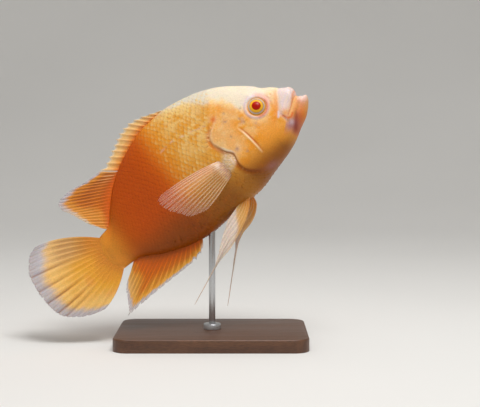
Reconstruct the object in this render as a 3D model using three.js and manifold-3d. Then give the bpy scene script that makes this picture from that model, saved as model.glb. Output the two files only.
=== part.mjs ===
// An adult oscar fish of the golden kind as a still, life-size model on a display stand.
// Sizes are in millimetres. The fish faces +X with its nose up and its right side to -Y.
// It is first shaped straight: s runs back from the mouth, h up and w out to its own left.
// The straight shapes are then curved along the body, and one group gives the pose.

import * as THREE from 'three';
import { mergeVertices } from 'three/addons/utils/BufferGeometryUtils.js';
import Module from 'manifold-3d';

// Driving dimensions of the fish

const STANDARD_LENGTH = 225;
const PITCH = 40;
const ROLL = 8;
const YAW = 5.5;
const HEAD_CURVE_START = 80;
const HEAD_CURVE_RADIUS = 700;
const TAIL_CURVE_START = 105;
const TAIL_CURVE_RADIUS = 520;
const GAP = 0.3;
const WELD = 0.001;
const SHORTEST_EDGE = 0.02;

const BODY_END = STANDARD_LENGTH + 9;
const TAIL_STALK_START = 196;

const EYE = { s: 34.1, h: 17, radius: 8.8, depth: 5, sunk: 2.5, rim: 9.7, rimThickness: 1.25 };
const NOSTRIL = { s: 18.4, h: 18, radius: 1, rim: 1.5, rimThickness: 0.5, depth: 2.2 };
const GAPE = { s: 3.3, h: 2.4, slope: -35.6, corner: 18.5, opening: 1 };
const LIP_SWELL = 0.9;
const LOWER_LIP_BAND = 6;
const GILL_COVER = { raise: 0.9, depth: 2.6 };

const MEMBRANE = 0.6;
const RAY = { root: 1.6, tip: 0.8 };
const DORSAL = { start: 103.5, spiny: 173.2, soft: 173.8, end: 215, root: 3.2, spines: 13, rays: 19 };
const ANAL = { start: 150.4, spines: [151.2, 154.8, 158.8], soft: 162.4, end: 212, root: 3.2, rays: 15 };
const TAIL = { root: 226, half: 15.5, rays: 16 };
const PECTORAL = { s: 86.9, top: -0.9, bottom: -17.6, rays: 13, root: 3, flare: 17 };
const PELVIC = { front: 90.8, back: 99.3, h: -38, w: 6, rays: 6, flare: 15 };

// Driving dimensions of the stand

const BASE = { length: 176, width: 112, thickness: 12, corner: 14, edge: 1.5 };
const ROD = { radius: 3, sides: 24, s: 142.7, h: -44.2, top: 100.9 };
const COLLAR = { radius: 8, height: 5, edge: 1 };

const wasm = await Module();
wasm.setup();

// A smooth curve through pairs, which never swings past them.
function curve(pairs) {
  const last = pairs.length - 1;
  const slopes = [];
  for (let i = 0; i < last; i += 1) {
    slopes.push((pairs[i + 1][1] - pairs[i][1]) / (pairs[i + 1][0] - pairs[i][0]));
  }
  const tangents = pairs.map((pair, i) => {
    const before = slopes[Math.max(i - 1, 0)];
    const after = slopes[Math.min(i, last - 1)];
    return before * after <= 0 ? 0 : (2 * before * after) / (before + after);
  });
  return (x) => {
    const at = THREE.MathUtils.clamp(x, pairs[0][0], pairs[last][0]);
    let i = 0;
    while (i < last - 1 && at > pairs[i + 1][0]) {
      i += 1;
    }
    const span = pairs[i + 1][0] - pairs[i][0];
    const t = (at - pairs[i][0]) / span;
    const rise = (1 + 2 * t) * (1 - t) ** 2 * pairs[i][1] + t * t * (3 - 2 * t) * pairs[i + 1][1];
    return rise + span * (t * (1 - t) ** 2 * tangents[i] - t * t * (1 - t) * tangents[i + 1]);
  };
}

// Smooth curves of s and h over the same running value, for tips and margins.
function path(rows) {
  const alongS = curve(rows.map((row) => [row[0], row[1]]));
  const alongH = curve(rows.map((row) => [row[0], row[2]]));
  return (u) => ({ s: alongS(u), h: alongH(u) });
}

// The straight frame in three.js axes.
function place(s, h, w) {
  return new THREE.Vector3(-s, w, h);
}

// A closed mesh from points and triangles, turned so that its faces point out.
function closedMesh(points, triangles) {
  let volume = 0;
  for (const [a, b, c] of triangles) {
    volume += points[a].dot(points[b].clone().cross(points[c]));
  }
  const turned = volume < 0 ? triangles.map(([a, b, c]) => [a, c, b]) : triangles;
  const geometry = new THREE.BufferGeometry().setFromPoints(points);
  geometry.setIndex(turned.flat());
  return geometry;
}

function solid(geometry) {
  const bare = geometry.clone();
  bare.deleteAttribute('normal');
  bare.deleteAttribute('uv');
  const merged = mergeVertices(bare, WELD);
  return new wasm.Manifold(new wasm.Mesh({
    numProp: 3,
    vertProperties: new Float32Array(merged.getAttribute('position').array),
    triVerts: new Uint32Array(merged.index.array),
    tolerance: SHORTEST_EDGE,
  }));
}

// The largest closed surface of a solid, so that no loose scrap or sealed hollow stays.
function largest(whole) {
  const pieces = whole.decompose();
  return pieces.reduce((best, piece) => (piece.volume() > best.volume() ? piece : best));
}

function meshGeometry(piece) {
  const mesh = largest(piece).getMesh();
  const geometry = new THREE.BufferGeometry();
  geometry.setAttribute('position', new THREE.BufferAttribute(new Float32Array(mesh.vertProperties), 3));
  geometry.setIndex(new THREE.BufferAttribute(new Uint32Array(mesh.triVerts), 1));
  return geometry;
}

// Every point of a closed mesh moved along its normal by amount(s, h).
function raised(geometry, amount) {
  const grown = geometry.clone();
  grown.computeVertexNormals();
  const points = grown.getAttribute('position');
  const normals = grown.getAttribute('normal');
  for (let i = 0; i < points.count; i += 1) {
    const rise = amount(-points.getX(i), points.getZ(i));
    const x = points.getX(i) + rise * normals.getX(i);
    const y = points.getY(i) + rise * normals.getY(i);
    const z = points.getZ(i) + rise * normals.getZ(i);
    points.setXYZ(i, x, y, z);
  }
  return grown;
}

// A side-view outline in s and h, cut through the fish from w = from to w = to.
function prism(outline, from, to) {
  const shape = new THREE.Shape(outline.map(([s, h]) => new THREE.Vector2(s, h)));
  const block = new THREE.ExtrudeGeometry(shape, { depth: to - from, bevelEnabled: false });
  block.translate(0, 0, from);
  block.applyMatrix4(new THREE.Matrix4().set(-1, 0, 0, 0, 0, 0, 1, 0, 0, 1, 0, 0, 0, 0, 0, 1));
  return solid(block);
}

// The same outline with every corner moved out by the amount.
function widened(outline, amount) {
  const points = outline.map(([s, h]) => new THREE.Vector2(s, h));
  const turn = Math.sign(THREE.ShapeUtils.area(points));
  return points.map((point, i) => {
    const before = point.clone().sub(points[(i + points.length - 1) % points.length]).normalize();
    const after = points[(i + 1) % points.length].clone().sub(point).normalize();
    const out = new THREE.Vector2(before.y + after.y, -before.x - after.x).normalize();
    const reach = amount / Math.max(out.dot(new THREE.Vector2(after.y, -after.x)), 0.5);
    return [point.x + turn * reach * out.x, point.y + turn * reach * out.y];
  });
}

function smoothLine(points, count) {
  const line = new THREE.SplineCurve(points.map(([s, h]) => new THREE.Vector2(s, h)));
  return line.getPoints(count).map((point) => [point.x, point.y]);
}

// The body: back and belly lines, half-widths and the level where it is widest.

const BACK = curve([
  [0.2, 12.4], [4.8, 15.4], [14.5, 25.3], [21.4, 30.5], [26.2, 36.4], [39.4, 48.5], [55, 59.8], [77.6, 69.8],
  [109.4, 76.2], [130.9, 75.3], [150, 70.3], [169, 62.2], [188, 49.7], [202, 36], [215.5, 21.6], [225, 19.4],
  [231, 17.3], [BODY_END, 14],
]);
const BELLY = curve([
  [0.2, 4], [4, 0], [9, -7], [18.5, -20], [25.5, -25], [38.4, -31.4], [61, -37.2], [85, -42.2],
  [115, -42.5], [139, -44], [159.9, -40.9], [187.9, -30.8], [212.2, -18.9], [225, -18.6], [231, -16.5],
  [BODY_END, -13.5],
]);
const HALF_WIDTH = curve([
  [0.2, 9.3], [10, 11.5], [20, 14.5], [35, 19], [55, 23], [75, 25.2], [90, 25.5], [110, 24.5], [135, 21],
  [160, 16], [185, 11], [205, 8], [225, 5], [231, 2.6], [BODY_END, 1],
]);
const WIDEST = curve([
  [0.2, 8.2], [10, 3], [20, -1], [35, -2], [60, -5], [90, -8], [135, 0], [180, 3], [225, 0],
]);
const BACK_FULLNESS = curve([[0, 0.7], [20, 0.8], [60, 0.9], [110, 1.1], [190, 1.1], [BODY_END, 0.9]]);
const BELLY_FULLNESS = 0.85;

const JAW_TOP = curve([[-6.5, -0.6], [-2.6, -0.2], [3.3, 1.6], [10, -2.5], [20, -10], [36, -16]]);
const JAW_BOTTOM = curve([
  [-6.5, -5], [-3.8, -7.9], [0.5, -12.3], [7.1, -17.3], [19, -23], [32.7, -29.6], [36, -31],
]);
const JAW_HALF_WIDTH = curve([[-6.5, 7], [3, 9.6], [10, 12], [20, 14.2], [36, 15.5]]);
const JAW_WIDEST = curve([[-6.5, -2.4], [3, -4.5], [20, -14], [36, -22]]);

const TRUNK = {
  start: 0.2,
  end: BODY_END,
  columns: 28,
  top: BACK,
  bottom: BELLY,
  half: HALF_WIDTH,
  widest: WIDEST,
  fullness: BACK_FULLNESS,
  tipHeight: 2.2,
  tipWidth: 6,
};
const JAW = {
  start: -6.5,
  end: 36,
  columns: 24,
  top: JAW_TOP,
  bottom: JAW_BOTTOM,
  half: JAW_HALF_WIDTH,
  widest: JAW_WIDEST,
  fullness: () => 0.8,
  tipHeight: 3,
  tipWidth: 8,
};

// How far a rounded tip has opened at s, from 0 at its start to 1.
function opening(form, s, length) {
  const left = THREE.MathUtils.clamp((form.start + length - s) / length, 0, 1);
  return Math.sqrt(1 - left * left);
}

// A point on a form's skin at s, turned from the widest level on the left up over the back.
function skinPoint(form, s, turn) {
  const middle = form.widest(s);
  const tall = opening(form, s, form.tipHeight);
  const wide = opening(form, s, form.tipWidth) * form.half(s);
  const rise = Math.sin(turn);
  const reach = rise > 0 ? form.top(s) - middle : middle - form.bottom(s);
  const fullness = rise > 0 ? form.fullness(s) : BELLY_FULLNESS;
  const side = Math.sign(Math.cos(turn)) * Math.abs(Math.cos(turn)) ** fullness;
  return place(s, middle + tall * reach * rise, wide * side);
}

// How far the right or left flank stands from the middle plane at s and h.
function flank(s, h) {
  const middle = WIDEST(s);
  const reach = h > middle ? BACK(s) - middle : middle - BELLY(s);
  const rise = Math.min(Math.abs(h - middle) / reach, 1);
  const fullness = h > middle ? BACK_FULLNESS(s) : BELLY_FULLNESS;
  return HALF_WIDTH(s) * Math.sqrt(1 - rise * rise) ** fullness;
}

// The way that the flank faces at s and h, on the side given by 1 for left or -1 for right.
function flankNormal(s, h, side) {
  const step = 0.5;
  const alongS = (flank(s + step, h) - flank(s - step, h)) / (2 * step);
  const alongH = (flank(s, h + step) - flank(s, h - step)) / (2 * step);
  return new THREE.Vector3(alongS, side, -alongH).normalize();
}

function loft(form, steps) {
  const stations = stationsOf(form, steps);
  const points = [place(form.start, form.widest(form.start), 0)];
  const triangles = [];
  for (const s of stations) {
    for (let column = 0; column < form.columns; column += 1) {
      points.push(skinPoint(form, s, (2 * Math.PI * column) / form.columns));
    }
  }
  const end = stations[stations.length - 1];
  points.push(place(end, (form.top(end) + form.bottom(end)) / 2, 0));
  const tail = points.length - 1;
  for (let column = 0; column < form.columns; column += 1) {
    const next = (column + 1) % form.columns;
    triangles.push([0, 1 + column, 1 + next]);
    for (let ring = 0; ring < stations.length - 1; ring += 1) {
      const a = 1 + ring * form.columns;
      const b = a + form.columns;
      triangles.push([a + column, b + column, a + next]);
      triangles.push([a + next, b + column, b + next]);
    }
    const rim = 1 + (stations.length - 1) * form.columns;
    triangles.push([tail, rim + next, rim + column]);
  }
  return closedMesh(points, triangles);
}

// Stations from the tip back, close together where the form is small and wider apart behind.
function stationsOf(form, steps) {
  const stations = [];
  let s = form.start;
  for (const [until, step] of steps) {
    while (s < until - step / 2) {
      s += step;
      stations.push(s);
    }
  }
  stations[stations.length - 1] = form.end;
  return stations;
}

const trunk = loft(TRUNK, [[1.4, 0.4], [4.4, 1], [25, 2.6], [92, 4.7], [213, 8], [BODY_END, 3.5]]);
const jaw = loft(JAW, [[-5.2, 0.5], [-1.6, 1.2], [24, 2.6], [JAW.end, 4]]);

function body(amount) {
  return solid(raised(trunk, () => amount)).add(solid(raised(jaw, () => amount)));
}

const flesh = body(0);
const clearance = body(GAP);

// The mouth: a slit along the line of the gape, with an upper and a lower lip round it.

const gapeSlope = Math.tan(THREE.MathUtils.degToRad(GAPE.slope));
const gapeLevel = (s) => GAPE.h + gapeSlope * (s - GAPE.s);
const gapeDistance = (s, h) => (h - gapeLevel(s)) * Math.cos(THREE.MathUtils.degToRad(GAPE.slope));
const lipGroove = curve([[-8, 20.4], [-1.8, 20.8], [5.7, 16.6], [11.9, 12.5], [19.4, 8.2], [25, 3]]);
const REACH = 60;
const FRONT = -14;
const TOP = 95;

function upperLipSwell(s, h) {
  const above = gapeDistance(s, h);
  const ahead = lipGroove(h) - s;
  const across = above / Math.max(above + ahead, GAP);
  return LIP_SWELL * Math.sqrt(Math.max(Math.sin(Math.PI * THREE.MathUtils.clamp(across, 0, 1)), 0));
}

function lowerLipSwell(s, h) {
  const across = THREE.MathUtils.clamp(-gapeDistance(s, h) / LOWER_LIP_BAND, 0, 1);
  return LIP_SWELL * Math.sqrt(Math.sin(Math.PI * across));
}

const grooveLevels = [-7.6, -5, -1.8, 2, 5.7, 9, 12, 15.5, 19.4, 25];
const upperLipOutline = [
  [FRONT, gapeLevel(FRONT)],
  [GAPE.corner, gapeLevel(GAPE.corner)],
  ...grooveLevels.map((h) => [lipGroove(h), h]),
  [FRONT, 30],
];
const lowerLipOutline = [
  [FRONT, gapeLevel(FRONT)],
  [GAPE.corner, gapeLevel(GAPE.corner)],
  [GAPE.corner + 0.7, -12.6],
  [10, -9.4],
  [3, -5.4],
  [FRONT, -4.2],
];
const jawOutline = [
  [FRONT, gapeLevel(FRONT)],
  [GAPE.corner, gapeLevel(GAPE.corner)],
  [20.4, -10.5],
  [30, -18],
  [33.6, -28],
  [34, -REACH],
  [FRONT, -REACH],
];
const slit = prism(widened([
  [FRONT - GAP, gapeLevel(FRONT - GAP)],
  [GAPE.corner, gapeLevel(GAPE.corner) - 0.01],
  [GAPE.corner, gapeLevel(GAPE.corner) + 0.01],
], GAPE.opening / 2), -REACH, REACH);

const upperLipForm = solid(raised(trunk, upperLipSwell));
const lowerLipForm = solid(raised(trunk, lowerLipSwell)).add(solid(raised(jaw, lowerLipSwell)));
const upperLip = upperLipForm.intersect(prism(upperLipOutline, -REACH, REACH)).subtract(slit);
const lowerLip = lowerLipForm.intersect(prism(lowerLipOutline, -REACH, REACH)).subtract(slit);
const lipSpace = prism(widened(upperLipOutline, GAP), -REACH, REACH)
  .add(prism(widened(lowerLipOutline, GAP), -REACH, REACH));
const jawBlock = prism(jawOutline, -REACH, REACH);
const jawSpace = prism(widened(jawOutline, GAP), -REACH, REACH);

// The gill covers: raised plates from the cheek groove back to the gill opening.

const gillEdge = smoothLine([
  [71, 33.4], [73.8, 30.8], [81.3, 26], [86, 21.3], [87, 15.2], [85.2, 10.1], [81.4, 1.8], [77.4, -3.8],
  [78.8, -10.4], [79.2, -15], [77.9, -20.4], [74, -25.4], [66.7, -29.9], [57.5, -32],
], 26);
const cheekGroove = smoothLine([
  [55.6, -28], [56, -18.1], [56.9, -8.2], [58, 3.4], [60.2, 13.6], [66, 26],
], 10);
const gillCoverOutline = [...gillEdge, ...cheekGroove];
const headOutline = [
  [FRONT, TOP],
  [66, TOP],
  [68, 55],
  ...gillEdge,
  [47.5, -31.4],
  [38.5, -28.8],
  [36, -REACH],
  [FRONT, -REACH],
];

function gillCover(side, grow) {
  const plate = body(GILL_COVER.raise + grow).subtract(body(-GILL_COVER.depth - grow));
  const from = side > 0 ? 4 - grow : -REACH;
  const to = side > 0 ? REACH : -4 + grow;
  return plate.intersect(prism(widened(gillCoverOutline, grow - GAP), from, to));
}

// The eyes: flattened balls in round sockets, each with a raised rim of skin.

function onFlank(geometry, spot, side, sunk) {
  const out = flankNormal(spot.s, spot.h, side);
  geometry.applyQuaternion(new THREE.Quaternion().setFromUnitVectors(new THREE.Vector3(0, 0, 1), out));
  const centre = place(spot.s, spot.h, side * flank(spot.s, spot.h)).addScaledVector(out, -sunk);
  return solid(geometry.translate(centre.x, centre.y, centre.z));
}

function eyeball(side, grow) {
  const ball = new THREE.SphereGeometry(1, 16, 8);
  ball.rotateX(Math.PI / 2);
  ball.scale(EYE.radius + grow, EYE.radius + grow, EYE.depth + grow);
  return onFlank(ball, EYE, side, EYE.sunk);
}

function eyeRim(side) {
  return onFlank(new THREE.TorusGeometry(EYE.rim, EYE.rimThickness, 5, 24), EYE, side, 0.4);
}

function nostril(side) {
  const pit = new THREE.CylinderGeometry(NOSTRIL.radius, NOSTRIL.radius / 2, 2 * NOSTRIL.depth, 10);
  return onFlank(pit.rotateX(Math.PI / 2), NOSTRIL, side, 0);
}

function nostrilRim(side) {
  return onFlank(new THREE.TorusGeometry(NOSTRIL.rim, NOSTRIL.rimThickness, 6, 10), NOSTRIL, side, 0.1);
}

// Each fin is a thin sheet of columns that run from its root to its margin. A column has its
// place u along the root, how much of a ray it carries, and how far it reaches to the margin.

function finSheet(columns, rows, sheet, thickness) {
  const step = 0.004;
  const points = [];
  const triangles = [];
  const along = columns.length;
  const up = rows + 1;
  const low = columns[0].u;
  const high = columns[along - 1].u;
  for (const face of [1, -1]) {
    for (const column of columns) {
      for (let row = 0; row < up; row += 1) {
        const v = (row / rows) * column.reach;
        const left = Math.max(column.u - step * (high - low), low);
        const right = Math.min(column.u + step * (high - low), high);
        const acrossRays = sheet(right, v).sub(sheet(left, v));
        const alongRay = sheet(column.u, v + step).sub(sheet(column.u, v - step));
        const out = acrossRays.cross(alongRay).normalize();
        points.push(sheet(column.u, v).addScaledVector(out, (face * thickness(column, v)) / 2));
      }
    }
  }
  const at = (face, i, j) => face * along * up + i * up + j;
  for (let i = 0; i < along - 1; i += 1) {
    for (let j = 0; j < rows; j += 1) {
      triangles.push([at(0, i, j), at(0, i + 1, j), at(0, i + 1, j + 1)]);
      triangles.push([at(0, i, j), at(0, i + 1, j + 1), at(0, i, j + 1)]);
      triangles.push([at(1, i, j), at(1, i + 1, j + 1), at(1, i + 1, j)]);
      triangles.push([at(1, i, j), at(1, i, j + 1), at(1, i + 1, j + 1)]);
    }
    triangles.push([at(0, i, 0), at(1, i + 1, 0), at(0, i + 1, 0)]);
    triangles.push([at(0, i, 0), at(1, i, 0), at(1, i + 1, 0)]);
    triangles.push([at(0, i, rows), at(0, i + 1, rows), at(1, i + 1, rows)]);
    triangles.push([at(0, i, rows), at(1, i + 1, rows), at(1, i, rows)]);
  }
  for (let j = 0; j < rows; j += 1) {
    triangles.push([at(0, 0, j), at(0, 0, j + 1), at(1, 0, j + 1)]);
    triangles.push([at(0, 0, j), at(1, 0, j + 1), at(1, 0, j)]);
    triangles.push([at(0, along - 1, j), at(1, along - 1, j + 1), at(0, along - 1, j + 1)]);
    triangles.push([at(0, along - 1, j), at(1, along - 1, j), at(1, along - 1, j + 1)]);
  }
  return solid(closedMesh(points, triangles));
}

// A point on a ray that bows between its root and its tip.
function rayPoint(root, tip, bow, v) {
  const middle = { s: (root.s + tip.s) / 2, h: (root.h + tip.h) / 2 + bow };
  const s = (1 - v) ** 2 * root.s + 2 * v * (1 - v) * middle.s + v * v * tip.s;
  const h = (1 - v) ** 2 * root.h + 2 * v * (1 - v) * middle.h + v * v * tip.h;
  return { s, h };
}

// Places of the rays of one stretch, evenly spaced.
function even(from, to, count) {
  return Array.from({ length: count }, (_, i) => from + ((to - from) * i) / (count - 1));
}

// Three columns for each ray: its crest and the foot of the ridge on either side.
// A spine's tip stands out past the membrane, which falls away in front of it.
function rayColumns(places, halfWidth, tipReach) {
  return places.flatMap((place) => [
    { u: place - halfWidth, ray: 0, reach: 2 - tipReach },
    { u: place, ray: 1, reach: tipReach },
    { u: place + halfWidth, ray: 0, reach: 1 },
  ]);
}

// How thick a column is at v: membrane, with the ray's ridge and a fleshy root where there is one.
function finThickness(fleshy, rootLength) {
  return (column, v) => {
    const ridge = column.ray * (RAY.root - MEMBRANE + (RAY.tip - RAY.root) * Math.min(v, 1));
    return MEMBRANE + ridge + fleshy * Math.exp(-((v / rootLength) ** 2));
  };
}

// The long fin of the back: short stiff spines in front, long soft rays behind.

const dorsalTip = path([
  [103.5, 107.5, 76.2], [110, 118, 80.8], [118, 129, 85.4], [128, 141, 87.6], [140, 154, 84.8],
  [152, 165, 79.1], [164, 176.4, 72.6], [173, 187, 68.6], [178, 204, 69], [184, 222.3, 71.2],
  [190, 236.4, 69], [195, 238.9, 62], [200, 234.9, 53.6], [207, 230.5, 43.1], [211, 226.6, 34.6],
  [DORSAL.end, 221.5, 26.6],
]);

function dorsalSheet(u, v) {
  const point = rayPoint({ s: u, h: BACK(u) - DORSAL.root }, dorsalTip(u), 0, v);
  const sway = 1.6 * Math.sin((u - 120) / 17) * v * v;
  return place(point.s, point.h, sway);
}

// The fin under the tail, with three spines at its front.

const analTip = path([
  [ANAL.start, 156.6, -48.3], [154.8, 161.4, -51.4], [159, 168.8, -53.5], [165, 181.7, -53.6],
  [172, 198.5, -53.5], [181, 221, -53.8], [190, 246.3, -53.9], [196, 243.2, -47.7], [201, 239.6, -40.9],
  [206, 235, -32.9], [ANAL.end, 222.7, -24.2],
]);

function analSheet(u, v) {
  const point = rayPoint({ s: u, h: BELLY(u) + ANAL.root }, analTip(u), 0, v);
  return place(point.s, point.h, -1.4 * Math.sin((u - ANAL.start) / 14) * v * v);
}

// The tail fin, a rounded fan whose upper third is folded a little away to the left.

const tailTip = path([
  [0, 279, 50.2], [0.08, 286, 47.4], [0.18, 293, 39.8], [0.3, 299.3, 28.3], [0.45, 301.8, 10],
  [0.6, 301.2, -5.4], [0.72, 297.8, -17.2], [0.82, 288, -26.8], [0.92, 275.2, -34.1], [1, 263, -37.4],
]);
const tailBow = curve([[0, 10.4], [0.5, 0.5], [1, -7]]);

function tailSheet(u, v) {
  const root = { s: TAIL.root + 4 * Math.sin(Math.PI * u), h: TAIL.half * (1 - 2 * u) };
  const point = rayPoint(root, tailTip(u), tailBow(u), v);
  const fold = THREE.MathUtils.smoothstep(0.36 - u, 0, 0.36);
  return place(point.s, point.h, v * v * (9 * fold + 1.8 * Math.sin(9 * u)));
}

// The breast fins, fans that spring from a short upright root behind the gill covers.

const pectoralTip = path([
  [0, 162.5, 4.8], [0.2, 168.7, 0.7], [0.4, 165.4, -10.3], [0.6, 159, -19.2], [0.8, 150.6, -27.4],
  [1, 132.7, -31.7],
]);
const pectoralBow = curve([[0, 5.5], [0.5, 1.5], [1, -5]]);

function pectoralSheet(side) {
  const surface = flank(PECTORAL.s, (PECTORAL.top + PECTORAL.bottom) / 2);
  const height = PECTORAL.top - PECTORAL.bottom;
  return (u, v) => {
    const root = { s: PECTORAL.s, h: PECTORAL.top - height * u };
    const point = rayPoint(root, pectoralTip(u), pectoralBow(u), v);
    const cup = 2 * Math.sin(Math.PI * u) * v;
    const off = -PECTORAL.root + 8 * (1 - (1 - v) ** 6) + PECTORAL.flare * v + cup;
    return place(point.s, point.h, side * (surface + off));
  };
}

// The belly fins, each drawn out to a thread at its front edge; the left one hangs steeper.
// Each bow tells how far the front edge stands off the straight line from its root to its tip.

const pelvicTips = {
  right: path([
    [0, 194.6, -87.3], [0.14, 176.4, -79.7], [0.3, 158.9, -71.9], [0.5, 148, -65], [0.75, 135.6, -55.2],
    [1, 121.6, -46],
  ]),
  left: path([
    [0, 173.2, -103.2], [0.14, 159.8, -90.4], [0.3, 145.5, -76], [0.5, 136.5, -67], [0.75, 127.5, -55.5],
    [1, 117, -45],
  ]),
};
const pelvicBows = {
  right: path([
    [0, 0, 0], [0.1, -0.7, -6.3], [0.24, -2.1, -8], [0.45, -2.5, -6.6], [0.61, -0.4, -2.9],
    [0.82, 0, -1.1], [1, 0, 0],
  ]),
  left: path([
    [0, 0, 0], [0.07, -2.3, -6.4], [0.13, -2.4, -6.9], [0.21, -2.1, -5.5], [0.27, -0.6, -3.5],
    [0.35, 2.1, -0.1], [0.48, 3.1, 1.9], [0.73, 1.8, 1.3], [1, 0, 0],
  ]),
};

function pelvicSheet(side, tip, bow) {
  return (u, v) => {
    const root = { s: PELVIC.front + (PELVIC.back - PELVIC.front) * u, h: PELVIC.h };
    const point = rayPoint(root, tip(u), 0, v);
    const curl = bow(v);
    const off = PELVIC.w + PELVIC.flare * v * (1 - 0.35 * u) + 1.5 * Math.sin(Math.PI * u) * v;
    return place(point.s + curl.s * (1 - u), point.h + curl.h * (1 - u), side * off);
  };
}

// The straight shapes are curved: a point keeps its height and its distance from the mid-line.
function curved(geometry) {
  const points = geometry.getAttribute('position');
  for (let i = 0; i < points.count; i += 1) {
    const point = curvedPoint(-points.getX(i), points.getZ(i), points.getY(i));
    points.setXYZ(i, point.x, point.y, point.z);
  }
  return geometry;
}

function curvedPoint(s, h, w) {
  const tail = s > TAIL_CURVE_START;
  const start = tail ? TAIL_CURVE_START : HEAD_CURVE_START;
  const radius = tail ? TAIL_CURVE_RADIUS : HEAD_CURVE_RADIUS;
  if (!tail && s > HEAD_CURVE_START) {
    return place(s, h, w);
  }
  const angle = (s - start) / radius;
  const x = -start - (radius + w) * Math.sin(angle);
  const y = (radius + w) * Math.cos(angle) - radius;
  return new THREE.Vector3(x, y, h);
}

// Finishes of the pieces, as seen in life.

const FINISH = {
  head: { color: 0xefd3a4, roughness: 0.42 },
  lips: { color: 0xf0dcd0, roughness: 0.4 },
  gillCover: { color: 0xe7ab52, roughness: 0.42 },
  flesh: { color: 0xd9822b, roughness: 0.42 },
  stalk: { color: 0xd0701f, roughness: 0.42 },
  fin: { color: 0xe3a24a, roughness: 0.5 },
  paleFin: { color: 0xf1cda6, roughness: 0.5 },
  eye: { color: 0xa81000, roughness: 0.1 },
  wood: { color: 0x6d4a32, roughness: 0.5 },
  steel: { color: 0xb9bcc0, roughness: 0.35, metalness: 1 },
};

function named(name, geometry, finish) {
  const mesh = new THREE.Mesh(geometry, new THREE.MeshStandardMaterial(finish));
  mesh.name = name;
  return mesh;
}

const model = new THREE.Group();
const fish = new THREE.Group();
const support = curvedPoint(ROD.s, ROD.h, 0);
fish.rotation.set(
  THREE.MathUtils.degToRad(-ROLL),
  THREE.MathUtils.degToRad(-PITCH),
  THREE.MathUtils.degToRad(-YAW),
  'ZYX',
);
fish.position.set(0, 0, ROD.top).sub(support.clone().applyEuler(fish.rotation));
fish.updateMatrix();
model.add(fish);

function addFlesh(name, piece, finish) {
  const welded = solid(curved(meshGeometry(piece)));
  fish.add(named(name, meshGeometry(welded), finish));
}

const headBlock = prism(headOutline, -REACH, REACH);
const stalkOutline = [
  [TAIL_STALK_START, TOP],
  [BODY_END + 2 * GAP, TOP],
  [BODY_END + 2 * GAP, -REACH],
  [TAIL_STALK_START, -REACH],
];
const stalkBlock = prism(stalkOutline, -REACH, REACH);
const stalkSpace = prism(widened(stalkOutline, GAP), -REACH, REACH);

let head = flesh.intersect(headBlock).subtract(jawSpace).subtract(lipSpace).subtract(slit);
const covers = {};
const eyes = {};
for (const side of [1, -1]) {
  head = head.add(eyeRim(side)).add(nostrilRim(side));
}
for (const side of [1, -1]) {
  covers[side] = gillCover(side, 0);
  eyes[side] = eyeball(side, 0);
  head = head.subtract(gillCover(side, GAP)).subtract(eyeball(side, GAP)).subtract(nostril(side));
}
const lowerJaw = flesh.intersect(jawBlock).subtract(lipSpace).subtract(slit);
const headSpace = prism(widened(headOutline, GAP), -REACH, REACH);
const torso = flesh.subtract(headSpace).subtract(stalkSpace);
const stalk = flesh.intersect(stalkBlock);

addFlesh('head', head, FINISH.head);
addFlesh('lower_jaw', lowerJaw, FINISH.head);
addFlesh('upper_lip', upperLip, FINISH.lips);
addFlesh('lower_lip', lowerLip, FINISH.lips);
addFlesh('gill_cover_right', covers[-1], FINISH.gillCover);
addFlesh('gill_cover_left', covers[1], FINISH.gillCover);
addFlesh('eye_right', eyes[-1], FINISH.eye);
addFlesh('eye_left', eyes[1], FINISH.eye);
addFlesh('torso', torso, FINISH.flesh);
addFlesh('tail_stalk', stalk, FINISH.stalk);

function addFin(name, columns, rows, sheet, thickness, finish) {
  addFlesh(name, finSheet(columns, rows, sheet, thickness).subtract(clearance), finish);
}

const thin = finThickness(0, 1);
const spinePlaces = even(DORSAL.start + 0.9, DORSAL.spiny - 0.9, DORSAL.spines);
const softPlaces = even(DORSAL.soft + 0.55, DORSAL.end - 0.55, DORSAL.rays);
addFin('dorsal_fin_spiny', rayColumns(spinePlaces, 0.9, 1.07), 2, dorsalSheet, thin, FINISH.fin);
addFin('dorsal_fin_soft', rayColumns(softPlaces, 0.5, 1.008), 4, dorsalSheet, thin, FINISH.fin);

const analColumns = [
  ...rayColumns(ANAL.spines, 0.8, 1.06),
  ...rayColumns(even(ANAL.soft, ANAL.end - 0.8, ANAL.rays), 0.75, 1.008),
];
addFin('anal_fin', analColumns, 4, analSheet, thin, FINISH.fin);
const tailRays = rayColumns(even(0.015, 0.985, TAIL.rays), 0.015, 1.006);
addFin('tail_fin', tailRays, 5, tailSheet, thin, FINISH.fin);

for (const [side, word] of [[-1, 'right'], [1, 'left']]) {
  const pectoralRays = rayColumns(even(0.02, 0.98, PECTORAL.rays), 0.02, 1.008);
  const breast = finThickness(3.4, 0.09);
  addFin(`pectoral_fin_${word}`, pectoralRays, 5, pectoralSheet(side), breast, FINISH.paleFin);
  const pelvicRays = rayColumns(even(0.04, 0.96, PELVIC.rays), 0.04, 1.01);
  const pelvic = pelvicSheet(side, pelvicTips[word], pelvicBows[word]);
  addFin(`pelvic_fin_${word}`, pelvicRays, 7, pelvic, finThickness(1.6, 0.1), FINISH.paleFin);
}

// The stand: a flat wooden base, and one steel rod that meets the belly before the anal fin.

function roundedRectangle(length, width, radius) {
  const x = length / 2;
  const y = width / 2;
  const shape = new THREE.Shape();
  shape.moveTo(-x + radius, -y);
  shape.lineTo(x - radius, -y);
  shape.absarc(x - radius, -y + radius, radius, -Math.PI / 2, 0);
  shape.lineTo(x, y - radius);
  shape.absarc(x - radius, y - radius, radius, 0, Math.PI / 2);
  shape.lineTo(-x + radius, y);
  shape.absarc(-x + radius, y - radius, radius, Math.PI / 2, Math.PI);
  shape.lineTo(-x, -y + radius);
  shape.absarc(-x + radius, -y + radius, radius, Math.PI, 1.5 * Math.PI);
  return shape;
}

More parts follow.
